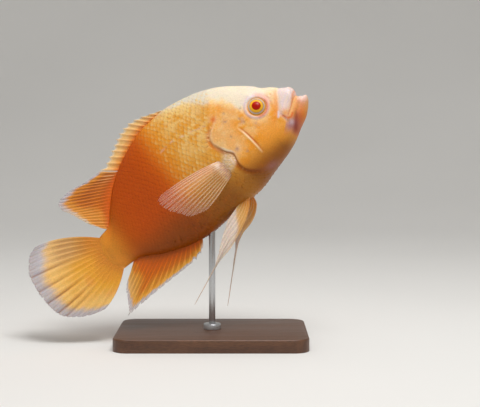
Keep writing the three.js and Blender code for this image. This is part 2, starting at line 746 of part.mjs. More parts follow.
const baseOutline = roundedRectangle(
  BASE.length - 2 * BASE.edge,
  BASE.width - 2 * BASE.edge,
  BASE.corner - BASE.edge,
);
const base = new THREE.ExtrudeGeometry(baseOutline, {
  depth: BASE.thickness - 2 * BASE.edge,
  bevelThickness: BASE.edge,
  bevelSize: BASE.edge,
  bevelSegments: 1,
  curveSegments: 4,
});
base.translate(0, 0, BASE.edge);
model.add(named('stand_base', meshGeometry(solid(base)), FINISH.wood));

const collarTop = BASE.thickness + GAP + COLLAR.height;
const collar = new THREE.LatheGeometry([
  new THREE.Vector2(ROD.radius + GAP, BASE.thickness + GAP),
  new THREE.Vector2(COLLAR.radius, BASE.thickness + GAP),
  new THREE.Vector2(COLLAR.radius, collarTop - COLLAR.edge),
  new THREE.Vector2(COLLAR.radius - COLLAR.edge, collarTop),
  new THREE.Vector2(ROD.radius + GAP, collarTop),
  new THREE.Vector2(ROD.radius + GAP, BASE.thickness + GAP),
], 16);
collar.rotateX(Math.PI / 2);
model.add(named('stand_collar', meshGeometry(solid(collar)), FINISH.steel));

const rodLength = ROD.top + REACH / 4 - BASE.thickness - GAP;
const rod = new THREE.CylinderGeometry(ROD.radius, ROD.radius, rodLength, ROD.sides);
rod.rotateX(Math.PI / 2);
rod.translate(0, 0, BASE.thickness + GAP + rodLength / 2);
const posedClearance = curved(meshGeometry(clearance)).applyMatrix4(fish.matrix);
model.add(named('stand_rod', meshGeometry(solid(rod).subtract(solid(posedClearance))), FINISH.steel));

export default model;
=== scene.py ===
import math

import bpy
import numpy as np
from mathutils import Matrix


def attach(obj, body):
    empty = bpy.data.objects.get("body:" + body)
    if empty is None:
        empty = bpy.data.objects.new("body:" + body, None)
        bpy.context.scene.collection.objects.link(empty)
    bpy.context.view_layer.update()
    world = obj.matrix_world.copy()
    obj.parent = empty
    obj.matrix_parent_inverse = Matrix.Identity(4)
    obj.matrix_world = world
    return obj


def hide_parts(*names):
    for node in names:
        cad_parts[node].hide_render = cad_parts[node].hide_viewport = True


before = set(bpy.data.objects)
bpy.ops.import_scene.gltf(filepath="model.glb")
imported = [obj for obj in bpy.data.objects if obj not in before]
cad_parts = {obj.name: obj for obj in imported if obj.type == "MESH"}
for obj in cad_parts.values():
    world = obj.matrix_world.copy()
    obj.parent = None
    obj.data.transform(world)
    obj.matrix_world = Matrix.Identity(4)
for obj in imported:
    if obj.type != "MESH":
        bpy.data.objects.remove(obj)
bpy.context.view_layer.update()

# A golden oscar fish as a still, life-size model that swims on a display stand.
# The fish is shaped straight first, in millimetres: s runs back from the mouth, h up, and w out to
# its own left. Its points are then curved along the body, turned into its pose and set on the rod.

bpy.ops.object.select_all(action="DESELECT")


# The camera: a long lens that looks at the fish's right side from a little above its middle.
# The fish stands to the left of the picture, so the camera's target is ahead of its middle.
CAMERA_LENS = 85
CAMERA_SENSOR = 36
CAMERA_TARGET = (0.02588, 0.0, 0.12893)
CAMERA_DISTANCE = 1.0472
CAMERA_ELEVATION = math.radians(4)

camera_data = bpy.data.cameras.new("camera")
camera_data.lens = CAMERA_LENS
camera_data.sensor_width = CAMERA_SENSOR
camera = bpy.data.objects.new("camera", camera_data)
bpy.context.collection.objects.link(camera)
camera.location = (
    CAMERA_TARGET[0],
    CAMERA_TARGET[1] - CAMERA_DISTANCE * math.cos(CAMERA_ELEVATION),
    CAMERA_TARGET[2] + CAMERA_DISTANCE * math.sin(CAMERA_ELEVATION),
)
camera.rotation_euler = (math.pi / 2 - CAMERA_ELEVATION, 0, 0)
bpy.context.scene.camera = camera


# The studio: a pale paper sweep that rises all round the model, so that no horizon shows.
# It is matt paper, lit by a large soft light overhead and a nearer one in front of the fish.
SWEEP_FLAT = 1.1
SWEEP_BEND = 1.6
SWEEP_TOP = 3.4
SWEEP_STEPS = 40
SWEEP_SIDES = 128
PAPER = "#EFEDE9"
PAPER_SHADE = "#E2E0DC"
SKY = "#E8EAEE"
KEY_LIGHT = {"place": (0.14, -0.44, 1.14), "size": 0.5, "power": 8.9}
CEILING_LIGHT = {"place": (0.0, 0.0, 2.6), "size": 2.6, "power": 20}
SKY_STRENGTH = 0.32


def colour(code):
    """An sRGB hex value as linear red, green, blue and alpha."""
    parts = [int(code[i:i + 2], 16) / 255 for i in (1, 3, 5)]
    return (*[p / 12.92 if p <= 0.04045 else ((p + 0.055) / 1.055) ** 2.4 for p in parts], 1.0)


def add_node(tree, kind, inputs=None, **settings):
    """One shader node with its settings; an input takes a value or another node's output."""
    made = tree.nodes.new(kind)
    for key, value in settings.items():
        setattr(made, key, value)
    for key, value in (inputs or {}).items():
        if isinstance(value, bpy.types.NodeSocket):
            tree.links.new(value, made.inputs[key])
        else:
            made.inputs[key].default_value = value
    return made


def new_material(name):
    made = bpy.data.materials.new(name)
    made.use_nodes = True
    made.node_tree.nodes.clear()
    return made, made.node_tree


def object_place(tree):
    return add_node(tree, "ShaderNodeTexCoord").outputs["Object"]


def noise(tree, vector, scale, detail, **more):
    """Smooth random values, finer with a larger scale."""
    inputs = {"Vector": vector, "Scale": scale, "Detail": detail, **more}
    return add_node(tree, "ShaderNodeTexNoise", inputs).outputs["Fac"]


def blended(tree, share, first, second, blend_type="MIX"):
    """A second colour mixed into a first by a share, or multiplied with it."""
    inputs = {0: share, 6: first, 7: second}
    return add_node(tree, "ShaderNodeMix", inputs, data_type="RGBA", blend_type=blend_type).outputs[2]


def add_surface(tree, inputs):
    """The shader of a material with its settings, joined to the output."""
    shader = add_node(tree, "ShaderNodeBsdfPrincipled", inputs)
    add_node(tree, "ShaderNodeOutputMaterial", {"Surface": shader.outputs["BSDF"]})


def mesh_object(name, points, faces):
    """A smooth-shaded mesh object in the scene."""
    mesh = bpy.data.meshes.new(name)
    mesh.from_pydata(points.tolist(), [], faces)
    mesh.shade_smooth()
    made = bpy.data.objects.new(name, mesh)
    bpy.context.collection.objects.link(made)
    return made


def turned_profile(name, profile, sides):
    """A mesh turned round the vertical axis from pairs of radius and height."""
    turns = np.linspace(0, 2 * np.pi, sides, endpoint=False)
    radius, height = np.array(profile, float).T
    rings = np.stack([
        radius[:, None] * np.cos(turns),
        radius[:, None] * np.sin(turns),
        np.broadcast_to(height[:, None], (len(height), sides)),
    ], axis=-1)
    faces = []
    for ring in range(len(profile) - 1):
        for side in range(sides):
            a = ring * sides + side
            b = ring * sides + (side + 1) % sides
            faces.append((a, b, b + sides, a + sides))
    return mesh_object(name, rings.reshape(-1, 3), faces)


sweep_profile = [(0.001, 0.0), (SWEEP_FLAT, 0.0)]
for step in range(1, SWEEP_STEPS + 1):
    lift = math.pi / 2 * step / SWEEP_STEPS
    sweep_profile.append((SWEEP_FLAT + SWEEP_BEND * math.sin(lift), SWEEP_BEND * (1 - math.cos(lift))))
sweep_profile.append((SWEEP_FLAT + SWEEP_BEND, SWEEP_TOP))
sweep = turned_profile("studio_sweep", sweep_profile, SWEEP_SIDES)

# Matt paper: no gloss, with a faint unevenness of tone that keeps the large surface from looking flat.
matt_paper, tree = new_material("matt_paper")
uneven = noise(tree, object_place(tree), 1.5, 2.0)
tone = blended(tree, uneven, colour(PAPER), colour(PAPER_SHADE))
add_surface(tree, {"Base Color": tone, "Roughness": 0.95, "Specular IOR Level": 0.2})
sweep.data.materials.append(matt_paper)


def soft_light(name, place, size, power):
    """A square softbox that faces the model."""
    data = bpy.data.lights.new(name, "AREA")
    data.size = size
    data.energy = power
    made = bpy.data.objects.new(name, data)
    bpy.context.collection.objects.link(made)
    made.location = place
    towards = Matrix.Translation(CAMERA_TARGET).translation - made.location
    made.rotation_euler = towards.to_track_quat("-Z", "Y").to_euler()
    return made


soft_light("key_softbox", **KEY_LIGHT)
soft_light("ceiling_softbox", **CEILING_LIGHT)
world = bpy.data.worlds.new("studio")
bpy.context.scene.world = world
world.use_nodes = True
world.node_tree.nodes["Background"].inputs["Color"].default_value = colour(SKY)
world.node_tree.nodes["Background"].inputs["Strength"].default_value = SKY_STRENGTH
bpy.context.scene.view_settings.view_transform = "Standard"


# The skin: cast resin, one surface from the lips to the root of the tail, with no seam. The body is
# a round form that narrows to its tip, and the lower jaw is a second one blended into it. The eye
# sockets and nostrils are cut from them, and the mouth, a shut crease, is pressed in with the folds.
BODY_END = 234
END_TAPER = 17
END_ROUNDING = {"back": 6.2, "half": 17, "limit": 19}
JAW_END = 44
BLUNTEST = 0.9
BACK = [
    (0.2, 12.4), (4.8, 15.4), (14.5, 25.3), (21.4, 30.5), (26.2, 36.4), (39.4, 48.5), (55, 59.8),
    (77.6, 69.8), (109.4, 76.2), (130.9, 75.3), (150, 70.3), (169, 62.2), (188, 49.7), (202, 36),
    (215.5, 21.6), (225, 19.4), (231, 17.3), (BODY_END, 14),
]
BELLY = [
    (0.2, 4), (4, 0), (9, -7), (18.5, -20), (25.5, -25), (38.4, -31.4), (61, -37.2), (85, -42.2),
    (115, -42.5), (139, -44), (159.9, -40.9), (187.9, -30.8), (212.2, -18.9), (225, -18.6),
    (231, -16.5), (BODY_END, -13.5),
]
HALF_WIDTH = [
    (0.2, 9.3), (10, 11.5), (20, 14.5), (35, 19), (55, 23), (75, 25.2), (90, 25.5), (110, 24.5),
    (135, 21), (160, 16), (185, 11), (205, 8), (225, 6), (BODY_END, 5),
]
WIDEST = [
    (0.2, 8.2), (10, 3), (20, -1), (35, -2), (60, -5), (90, -8), (135, 0), (180, 3), (225, 0),
]
BACK_FULLNESS = [(0, 0.7), (20, 0.8), (60, 0.9), (110, 1.1), (190, 1.1), (BODY_END, 0.9)]
BELLY_FULLNESS = 0.85
JAW_TOP = [(-6.5, -0.6), (-2.6, -0.2), (3.3, 1.6), (10, -2.5), (20, -10), (44, -20)]
JAW_BOTTOM = [
    (-6.5, -5), (-3.8, -7.9), (0.5, -12.3), (7.1, -17.3), (19, -23), (30, -28.3), (37, -30.4),
    (JAW_END, -32),
]
JAW_HALF_WIDTH = [(-6.5, 7), (3, 9.6), (10, 12), (20, 14.2), (36, 15), (44, 12)]
JAW_WIDEST = [(-6.5, -2.4), (3, -4.5), (20, -14), (36, -22), (44, -26)]
JAW_FULLNESS = [(-6.5, 0.8), (44, 0.8)]
JAW_BLEND = 2.5
SKIN_INSET = 0.25
EYE = {"s": 34.1, "h": 17, "radius": 8.8, "depth": 5, "sunk": 2.5}
NOSTRIL = {"s": 18.4, "h": 18, "radius": 0.55, "depth": 0.6}
GAPE = {"s": 3.3, "h": 2.4, "slope": math.radians(-35.6), "corner": 18.5}
DEEPEST_CUT = 1.2
SOCKET_PLAY = 0.05
EYE_RIM = {"raise": 0.75, "radius": 10.4, "width": 1.2}
EYE_GROOVE = {"depth": 0.3, "radius": 12.9, "width": 1.0}
NOSTRIL_RIM = {"raise": 0.45, "radius": 1.9, "width": 0.6}
LIP_SWELL = 0.9
CREASE = {
    "upper_lip": 0.3, "lower_lip": 0.35, "gape": 0.45, "jaw": 0.45, "corner": 0.2, "opening": 0.55,
    "cheek": 0.45, "pore": 0.4,
}
LOWER_LIP_BAND = 6
LIP_GROOVE = [(-8, 20.4), (-1.8, 20.8), (5.7, 16.6), (11.9, 12.5), (19.4, 8.2), (25, 3)]
GILL_COVER_RAISE = 1.0
GILL_EDGE = [
    (71, 33.4), (73.8, 30.8), (81.3, 26), (86, 21.3), (87, 15.2), (85.2, 10.1), (81.4, 1.8),
    (77.4, -3.8), (78.8, -10.4), (79.2, -15), (77.9, -20.4), (74, -25.4), (66.7, -29.9), (57.5, -32),
]
CHEEK_GROOVE = [(59.1, 12.6), (57.3, 5.8), (56.2, -1.6), (55.4, -9.3), (55.3, -14.7), (55.2, -19.9)]
JAW_FOLD = [(5.5, -7.5), (8.4, -9.9), (12.6, -13.5), (18.7, -19.4), (23.5, -22.6), (30, -26)]
FIN_MOUND = {"s": 86.5, "h": -9.3, "size": 5.2, "raise": 1.5}
PORES = [
    (65.7, 24), (53.8, 17.9), (51.9, 12.7), (70, 9.5), (72.6, -2.7), (65.8, -10.4), (47, 25), (62, 31),
]

# The pose: nose up, belly rolled a little towards the camera, body curved at the head and tail.
HEAD_CURVE = {"start": 80, "radius": 700}
TAIL_CURVE = {"start": 105, "radius": 520}
PITCH = math.radians(40)
ROLL = math.radians(8)
YAW = math.radians(5.5)
ROD = {"radius": 3, "s": 142.7, "h": -44.2, "top": 100.9}


def curve(pairs):
    """A smooth curve through pairs of numbers, which never swings past them."""
    xs, ys = np.array(pairs, float).T
    slopes = np.diff(ys) / np.diff(xs)
    before = np.concatenate([slopes[:1], slopes])
    after = np.concatenate([slopes, slopes[-1:]])
    level = before * after <= 0
    tangents = np.where(level, 0, 2 * before * after / np.where(level, 1, before + after))

    def at(x):
        x = np.clip(x, xs[0], xs[-1])
        i = np.clip(np.searchsorted(xs, x) - 1, 0, len(xs) - 2)
        span = xs[i + 1] - xs[i]
        t = (x - xs[i]) / span
        rise = (1 + 2 * t) * (1 - t) ** 2 * ys[i] + t * t * (3 - 2 * t) * ys[i + 1]
        return rise + span * (t * (1 - t) ** 2 * tangents[i] - t * t * (1 - t) * tangents[i + 1])

    return at


def curved(s, h, w):
    """A straight place moved to where the curved body has it, in x back to front, y and z."""
    tail = s > TAIL_CURVE["start"]
    start = np.where(tail, TAIL_CURVE["start"], HEAD_CURVE["start"])
    radius = np.where(tail, TAIL_CURVE["radius"], HEAD_CURVE["radius"])
    bent = tail | (s < HEAD_CURVE["start"])
    angle = (s - start) / radius
    x = np.where(bent, -start - (radius + w) * np.sin(angle), -s)
    y = np.where(bent, (radius + w) * np.cos(angle) - radius, w)
    return np.stack([x, y, h + 0 * x], axis=-1)


turn = np.array(
    Matrix.Rotation(-YAW, 3, "Z") @ Matrix.Rotation(-PITCH, 3, "Y") @ Matrix.Rotation(-ROLL, 3, "X")
)
held = turn @ curved(np.array(float(ROD["s"])), np.array(float(ROD["h"])), np.array(0.0))


def posed(s, h, w):
    """Straight places in millimetres as places in the world in metres."""
    return (curved(s, h, w) @ turn.T - held + (0, 0, ROD["top"])) / 1000


back = curve(BACK)
belly = curve(BELLY)
half_width = curve(HALF_WIDTH)
widest = curve(WIDEST)
back_fullness = curve(BACK_FULLNESS)
trunk_form = {
    "start": 0.2, "tip_height": 2.2, "tip_width": 6,
    "top": back, "bottom": belly, "half": half_width, "widest": widest, "fullness": back_fullness,
}
jaw_form = {
    "start": -6.5, "tip_height": 3, "tip_width": 8, "top": curve(JAW_TOP), "bottom": curve(JAW_BOTTOM),
    "half": curve(JAW_HALF_WIDTH), "widest": curve(JAW_WIDEST), "fullness": curve(JAW_FULLNESS),
}


def flank(s, h):
    """How far the right or left flank stands from the middle plane at s and h."""
    middle = widest(s)
    up = h > middle
    reach = np.where(up, back(s) - middle, middle - belly(s))
    rise = np.minimum(np.abs(h - middle) / reach, 1)
    return half_width(s) * np.sqrt(1 - rise ** 2) ** np.where(up, back_fullness(s), BELLY_FULLNESS)


def facing(s, h):
    """The way that the left flank faces at s and h, as parts along s, h and w."""
    step = 0.5
    along_s = (flank(s + step, h) - flank(s - step, h)) / (2 * step)
    along_h = (flank(s, h + step) - flank(s, h - step)) / (2 * step)
    way = np.stack([-along_s, -along_h, np.ones_like(along_s)], axis=-1)
    return way / np.linalg.norm(way, axis=-1, keepdims=True)


def smooth_line(points, steps=4):
    """More points on a soft line through a few."""
    rows = np.array([points[0], *points, points[-1]], float)
    t = np.linspace(0, 1, steps, endpoint=False)[:, None]
    line = []
    for a, b, c, d in zip(rows, rows[1:], rows[2:], rows[3:]):
        line.append(b + t * (c - a) / 2 + t ** 2 * (a - 2.5 * b + 2 * c - d / 2)
                    + t ** 3 * (-a / 2 + 1.5 * b - 1.5 * c + d / 2))
    return np.concatenate([*line, rows[-1:]])


def off_line(s, h, line):
    """The distance of places from a line, above zero on its left, and how far along it they are."""
    nearest = np.full(np.broadcast(s, h).shape, np.inf)
    side = np.ones_like(nearest)
    along = np.zeros_like(nearest)
    passed = 0.0
    for (s0, h0), (s1, h1) in zip(line, line[1:]):
        length = math.hypot(s1 - s0, h1 - h0)
        ds, dh = (s1 - s0) / length, (h1 - h0) / length
        t = np.clip((s - s0) * ds + (h - h0) * dh, 0, length)
        away = np.hypot(s - s0 - t * ds, h - h0 - t * dh)
        closer = away < nearest
        nearest = np.where(closer, away, nearest)
        side = np.where(closer, np.where(ds * (h - h0) - dh * (s - s0) >= 0, 1, -1), side)
        along = np.where(closer, passed + t, along)
        passed += length
    return nearest * side, along / passed


def ramp(x, low, high):
    """A soft step from 0 at low to 1 at high."""
    t = np.clip((x - low) / (high - low), 0, 1)
    return t * t * (3 - 2 * t)


def bump(x, width):
    """A soft rise to 1 where x is zero."""
    return np.exp(-(x / width) ** 2)


def spot(s, h, middle_s, middle_h, size):
    """A round soft rise to 1 at its middle."""
    return bump(np.hypot(s - middle_s, h - middle_h), size)


def blend_min(a, b, radius):
    """The lower of two distances, rounded where they meet."""
    mix = np.clip(0.5 + 0.5 * (b - a) / radius, 0, 1)
    return b + (a - b) * mix - radius * mix * (1 - mix)


gill_line = smooth_line(GILL_EDGE)
cheek_line = smooth_line(CHEEK_GROOVE)
jaw_fold_line = smooth_line(JAW_FOLD)
lip_groove = curve(LIP_GROOVE)


def gape_height(s, h):
    """How far a place stands above the line of the gape."""
    level = GAPE["h"] + math.tan(GAPE["slope"]) * (s - GAPE["s"])
    return (h - level) * math.cos(GAPE["slope"])


def inside_cover(s, h):
    """The distance in from the free edge of the gill cover, below zero behind it."""
    away, along = off_line(s, h, gill_line)
    return -away, along


def relief(s, h):
    """How far the skin is raised at s and h on either side, in millimetres."""
    above = gape_height(s, h)
    ahead = lip_groove(h) - s
    across = np.clip(above / np.maximum(above + ahead, 0.3), 0, 1)
    upper_lip = LIP_SWELL * np.maximum(np.sin(np.pi * across), 0) ** 0.75 * (ahead > 0)
    lip_crease = -CREASE["upper_lip"] * bump(ahead + 0.9, 1.1) * ramp(above, 0, 2)
    band = np.clip(-above / LOWER_LIP_BAND, 0, 1)
    beside_corner = ramp(GAPE["corner"] + 2.5 - s, 0, 5)
    lower_lip = LIP_SWELL * np.maximum(np.sin(np.pi * band), 0) ** 0.75 * beside_corner
    lower_crease = -CREASE["lower_lip"] * bump(above + LOWER_LIP_BAND + 0.6, 0.8) * beside_corner
    gape = -CREASE["gape"] * bump(above, 0.7) * ramp(GAPE["corner"] + 1 - s, 0, 3)
    fold, _ = off_line(s, h, jaw_fold_line)
    jaw_crease = -CREASE["jaw"] * bump(fold, 0.8)
    corner_crease = -CREASE["corner"] * bump(s - 21.5 - 0.15 * (h + 8), 0.9)
    corner_crease = corner_crease * ramp(h, -17, -12) * ramp(h, 0, -3)
    inner, place = inside_cover(s, h)
    ends = ramp(place, 0.01, 0.16) * ramp(place, 0.99, 0.8)
    plate = GILL_COVER_RAISE * ramp(inner, -0.7, 0.7) * (0.3 + 0.7 * ramp(inner, 14, 1)) * ends
    plate = np.where(s > 50, plate, 0)
    opening = -CREASE["opening"] * bump(inner + 1.5, 1.2) * ends
    cheek, down = off_line(s, h, cheek_line)
    taper = np.sqrt(np.sin(np.pi * np.clip(down, 0, 1)))
    cheek_step = (-CREASE["cheek"] * bump(cheek + 0.4, 0.95) + 0.4 * bump(cheek - 1.4, 1.3)) * taper
    folds = 0.3 * np.sin(2.6 * inner) * ramp(inner, -1.5, -3) * ramp(inner, 9, 6) * ramp(h, -22, -28)
    pores = sum(-CREASE["pore"] * spot(s, h, a, b, 0.6) for a, b in PORES)
    brow = 0.5 * bump(np.hypot(s - EYE["s"], h - EYE["h"] - 12), 4)
    uneven = 0.14 * np.sin(s / 5.1 + 1) * np.sin(h / 4.3) * ramp(s, 60, 40)
    mound = bump(np.hypot(s - FIN_MOUND["s"], (h - FIN_MOUND["h"]) / 1.9), FIN_MOUND["size"])
    uneven = uneven + mound * (FIN_MOUND["raise"] + 0.2 * np.sin(3.1 * s) * np.sin(2.7 * h + s))
    return (upper_lip + lip_crease + lower_lip + lower_crease + gape + jaw_crease + corner_crease
            + plate + opening + cheek_step + folds + pores + brow + uneven)


def body_end(h):
    """Where the body ends on the tail fin, in a rounded line."""
    level = np.minimum(np.abs(h), END_ROUNDING["limit"]) / END_ROUNDING["half"]
    return BODY_END - 0.5 - END_ROUNDING["back"] * level ** 2


def end_taper(s, h):
    """How much narrower the body gets towards its end, so that it runs out on the tail fin."""
    return 1 - 0.94 * np.clip((s - body_end(h) + END_TAPER) / END_TAPER, 0, 1) ** 1.6


def form_field(form, s, h, w):
    """Below zero inside a rounded form and zero on its surface."""
    middle = form["widest"](s)
    up = h > middle
    reach = np.where(up, form["top"](s) - middle, middle - form["bottom"](s))
    fullness = BELLY_FULLNESS + (form["fullness"](s) - BELLY_FULLNESS) * ramp(h - middle, -3, 3)
    rise = (h - middle) / reach
    blunt = np.maximum((form["start"] + form["tip_height"] - s) / form["tip_height"], 0)
    narrow = np.clip((form["start"] + form["tip_width"] - s) / form["tip_width"], 0, BLUNTEST)
    wide = form["half"](s) * np.sqrt(1 - narrow ** 2) * end_taper(s, h)
    side = np.minimum(np.abs(w) / wide, 2)
    return np.sqrt(rise ** 2 + blunt ** 2 + (side ** 2) ** (1 / fullness)) - 1


def distance(field, axes):
    """A field scaled to millimetres near its surface."""
    steep = np.sqrt(sum(slope ** 2 for slope in np.gradient(field, *axes)))
    return np.clip(field / np.maximum(steep, 0.001), -4, 4)


def zero_surface(field, axes):
    """Points and quads of the surface where a field on a grid is zero, one point in each cell."""
    cells = tuple(length - 1 for length in field.shape)
    total = np.zeros((np.prod(cells), 3))
    count = np.zeros(np.prod(cells))
    quads = []
    for axis in range(3):
        low = np.moveaxis(field, axis, 0)[:-1]
        high = np.moveaxis(field, axis, 0)[1:]
        crossed = np.moveaxis((low < 0) != (high < 0), 0, axis)
        at = np.argwhere(crossed)
        one, two = [other for other in range(3) if other != axis]
        inner = (at[:, one] > 0) & (at[:, two] > 0)
        inner &= (at[:, one] < cells[one]) & (at[:, two] < cells[two])
        at = at[inner]
        beyond = at.copy()
        beyond[:, axis] += 1
        here = field[tuple(at.T)]
        there = field[tuple(beyond.T)]
        place = np.stack([axes[k][at[:, k]] for k in range(3)], axis=1)
        step = axes[axis][beyond[:, axis]] - axes[axis][at[:, axis]]
        place[:, axis] += step * here / (here - there)
        ring = []
        for back_one, back_two in ((0, 0), (1, 0), (1, 1), (0, 1)):
            cell = at.copy()
            cell[:, one] -= back_one
            cell[:, two] -= back_two
            flat = np.ravel_multi_index(tuple(cell.T), cells)
            ring.append(flat)
            count += np.bincount(flat, minlength=len(count))
            for k in range(3):
                total[:, k] += np.bincount(flat, weights=place[:, k], minlength=len(count))
        ring = np.stack(ring, axis=1)
        flipped = (here < 0) == (axis == 1)
        ring[flipped] = ring[flipped][:, ::-1]
        quads.append(ring)
    quads = np.concatenate(quads)
    used = count > 0
    number = np.cumsum(used) - 1
    return total[used] / count[used][:, None], number[quads]


def sampled(grid, axes, points):
    """Values of a grid at points between its lines."""
    low = []
    part = []
    for k in range(3):
        i = np.clip(np.searchsorted(axes[k], points[:, k]) - 1, 0, len(axes[k]) - 2)
        low.append(i)
        part.append((points[:, k] - axes[k][i]) / (axes[k][i + 1] - axes[k][i]))
    value = 0
    for corner in np.ndindex(2, 2, 2):
        weight = np.prod([part[k] if corner[k] else 1 - part[k] for k in range(3)], axis=0)
        value = value + weight * grid[tuple(low[k] + corner[k] for k in range(3))]
    return value


LEAST_STEEP = 0.5
LONGEST_STEP = 0.3


def settled(points, quads, field, axes, rounds):
    """Points spread evenly over the surface: each moves to its neighbours' middle and back on to it."""
    slopes = np.gradient(field, *axes)
    links = np.concatenate([quads[:, [0, 1]], quads[:, [1, 2]], quads[:, [2, 3]], quads[:, [3, 0]]])
    links = np.concatenate([links, links[:, ::-1]])
    degree = np.bincount(links[:, 0], minlength=len(points))[:, None]
    for _ in range(rounds):
        middle = np.stack([
            np.bincount(links[:, 0], weights=points[links[:, 1], k], minlength=len(points))
            for k in range(3)
        ], axis=1) / degree
        points = 0.5 * points + 0.5 * middle
        for _ in range(2):
            way = np.stack([sampled(slope, axes, points) for slope in slopes], axis=1)
            steep = np.maximum((way ** 2).sum(axis=1), LEAST_STEEP)
            off = np.clip(sampled(field, axes, points), -LONGEST_STEP, LONGEST_STEP)
            points = points - (off / steep)[:, None] * way
    return points


FACE_STEP = 0.55
BODY_STEP = 2.8
CREST_STEP = 1.1
CROSS_STEP = 0.8
skin_axes = [
    np.concatenate([np.arange(-9, 89, FACE_STEP), np.arange(89, BODY_END + 4, BODY_STEP)]),
    np.concatenate([
        np.arange(-48, -33, CREST_STEP), np.arange(-33, 34, FACE_STEP), np.arange(34, 80, CREST_STEP),
    ]),
    np.arange(-28.4, 28.5, CROSS_STEP),
]
grid_s = skin_axes[0][:, None, None]
grid_h = skin_axes[1][None, :, None]
grid_w = skin_axes[2][None, None, :]
trunk = distance(form_field(trunk_form, grid_s, grid_h, grid_w), skin_axes)
trunk = np.maximum(trunk, grid_s - body_end(grid_h))
jaw = distance(form_field(jaw_form, np.minimum(grid_s, 48), grid_h, grid_w), skin_axes)
jaw = np.maximum(jaw, grid_s - JAW_END)
flesh = blend_min(trunk, jaw, JAW_BLEND) + SKIN_INSET
core = flesh + DEEPEST_CUT
flesh = flesh - relief(grid_s[:, :, 0], grid_h[:, :, 0])[:, :, None]


def spot_on_flank(feature, sunk):
    """The middle of a round feature on the left flank, below its skin by sunk, and the way it faces."""
    s, h = float(feature["s"]), float(feature["h"])
    way = facing(np.array(s), np.array(h))
    return np.array([s, h, flank(np.array(s), np.array(h))]) - sunk * way, way


def round_spot(middle, way, s, h, w):
    """Distances of places on both sides from a round feature's axis, and along it."""
    off = [s - middle[0], h - middle[1], np.abs(w) - middle[2]]
    along = off[0] * way[0] + off[1] * way[1] + off[2] * way[2]
    around = np.sqrt(np.maximum(off[0] ** 2 + off[1] ** 2 + off[2] ** 2 - along ** 2, 0))
    return around, along


eye_middle, eye_way = spot_on_flank(EYE, EYE["sunk"])
around, along = round_spot(eye_middle, eye_way, grid_s, grid_h, grid_w)
outer = along > 0
rim = EYE_RIM["raise"] * bump(around - EYE_RIM["radius"], EYE_RIM["width"])
groove = EYE_GROOVE["depth"] * bump(around - EYE_GROOVE["radius"], EYE_GROOVE["width"])
flesh -= (rim - groove) * outer
socket = EYE["depth"] + SOCKET_PLAY
ball = socket * (np.hypot(around / (EYE["radius"] + SOCKET_PLAY), along / socket) - 1)
flesh = -blend_min(-flesh, ball, 0.7)
nostril_middle, nostril_way = spot_on_flank(NOSTRIL, 0)
around, along = round_spot(nostril_middle, nostril_way, grid_s, grid_h, grid_w)
rim = NOSTRIL_RIM["raise"] * bump(around - NOSTRIL_RIM["radius"], NOSTRIL_RIM["width"])
flesh -= rim * (np.abs(along) < 4)
pit = np.maximum(around - NOSTRIL["radius"], np.abs(along) - NOSTRIL["depth"])
flesh = -blend_min(-flesh, pit, 0.4)
flesh = np.minimum(flesh, core)
# A light blur on each axis keeps creases from being thinner than the grid can carry.
for axis in range(3):
    layers = np.moveaxis(flesh, axis, 0)
    layers[1:-1] = 0.5 * layers[1:-1] + 0.25 * (layers[:-2] + layers[2:])

skin_points, skin_quads = zero_surface(flesh, skin_axes)
skin_points = settled(skin_points, skin_quads, flesh, skin_axes, 3)


# The markings: pigments brushed on the resin, which the skin and its scales share. The forehead and
# nape are cream, the cheek and gill cover gold, and the flank deepens to orange towards the tail.
# Painted shade darkens the throat, the lower cheek, the belly and the rear flank, and painted shade
# and highlights lie along the creases, round the eye and at the gill cover's edge.
PIGMENT = {
    "cream": "#E8D9BF", "ivory": "#F3DAB0", "peach": "#F0BE7C", "gold": "#E89C38", "amber": "#EC9422",
    "orange": "#E67A08", "deep": "#D85C00", "rust": "#B64000", "umber": "#854400", "lilac": "#DCCBD2",
    "rose": "#DF9068", "wine": "#8A2410", "plum": "#A27078", "smoke": "#B08A70", "straw": "#FACB7E",
    "sand": "#E8BE88", "pearl": "#E9D3CA", "honey": "#EDAA30", "mist": "#C4BFC6", "shell": "#F0DCD2",
    "blush": "#E5A583", "brown": "#7A3C04",
}
PIGMENT = {key: np.array(colour(code)[:3]) for key, code in PIGMENT.items()}
CREAM_DEPTH = [
    (0, 7), (11, 8), (23, 10), (33, 15), (40, 24), (47, 29), (52, 23), (61, 17), (72, 11.5),
    (85, 8), (98, 4), (112, 1.5), (140, 0.5),
]
LATERAL_LINE = [
    (81.3, 32.1), (89.5, 35.5), (97, 38.3), (104.4, 39.8), (111.5, 42.1), (118.5, 43), (131, 42),
]
cream_depth = curve(CREAM_DEPTH)
side_line_path = smooth_line(LATERAL_LINE)


def blotches(s, h, w, size, seed):
    """Soft random patches about as wide as size, from 0 to 1, the same on every run."""
    table = np.random.default_rng(seed).random((32, 32, 32))
    spots = [np.asarray(value, float) / size + 500 for value in np.broadcast_arrays(s, h, w)]
    low = [np.floor(value).astype(int) for value in spots]
    part = [value - base for value, base in zip(spots, low)]
    part = [t * t * (3 - 2 * t) for t in part]
    value = 0
    for corner in np.ndindex(2, 2, 2):
        weight = 1
        for k in range(3):
            weight = weight * (part[k] if corner[k] else 1 - part[k])
        value = value + weight * table[tuple((low[k] + corner[k]) % 32 for k in range(3))]
    return value


def coat(tint, like):
    """One even colour over places."""
    return np.broadcast_to(tint, (*np.shape(like), 3))


def painted(tint, *layers):
    """Pigments brushed over a colour one after another, each by an amount from 0 to 1."""
    for pigment, amount in layers:
        tint = tint + (PIGMENT[pigment] - tint) * np.clip(amount, 0, 1)[..., None]
    return tint


def stroke(s, h, points, width):
    """How strongly a brush stroke through points covers a place."""
    away, _ = off_line(s, h, points)
    return bump(away, width)


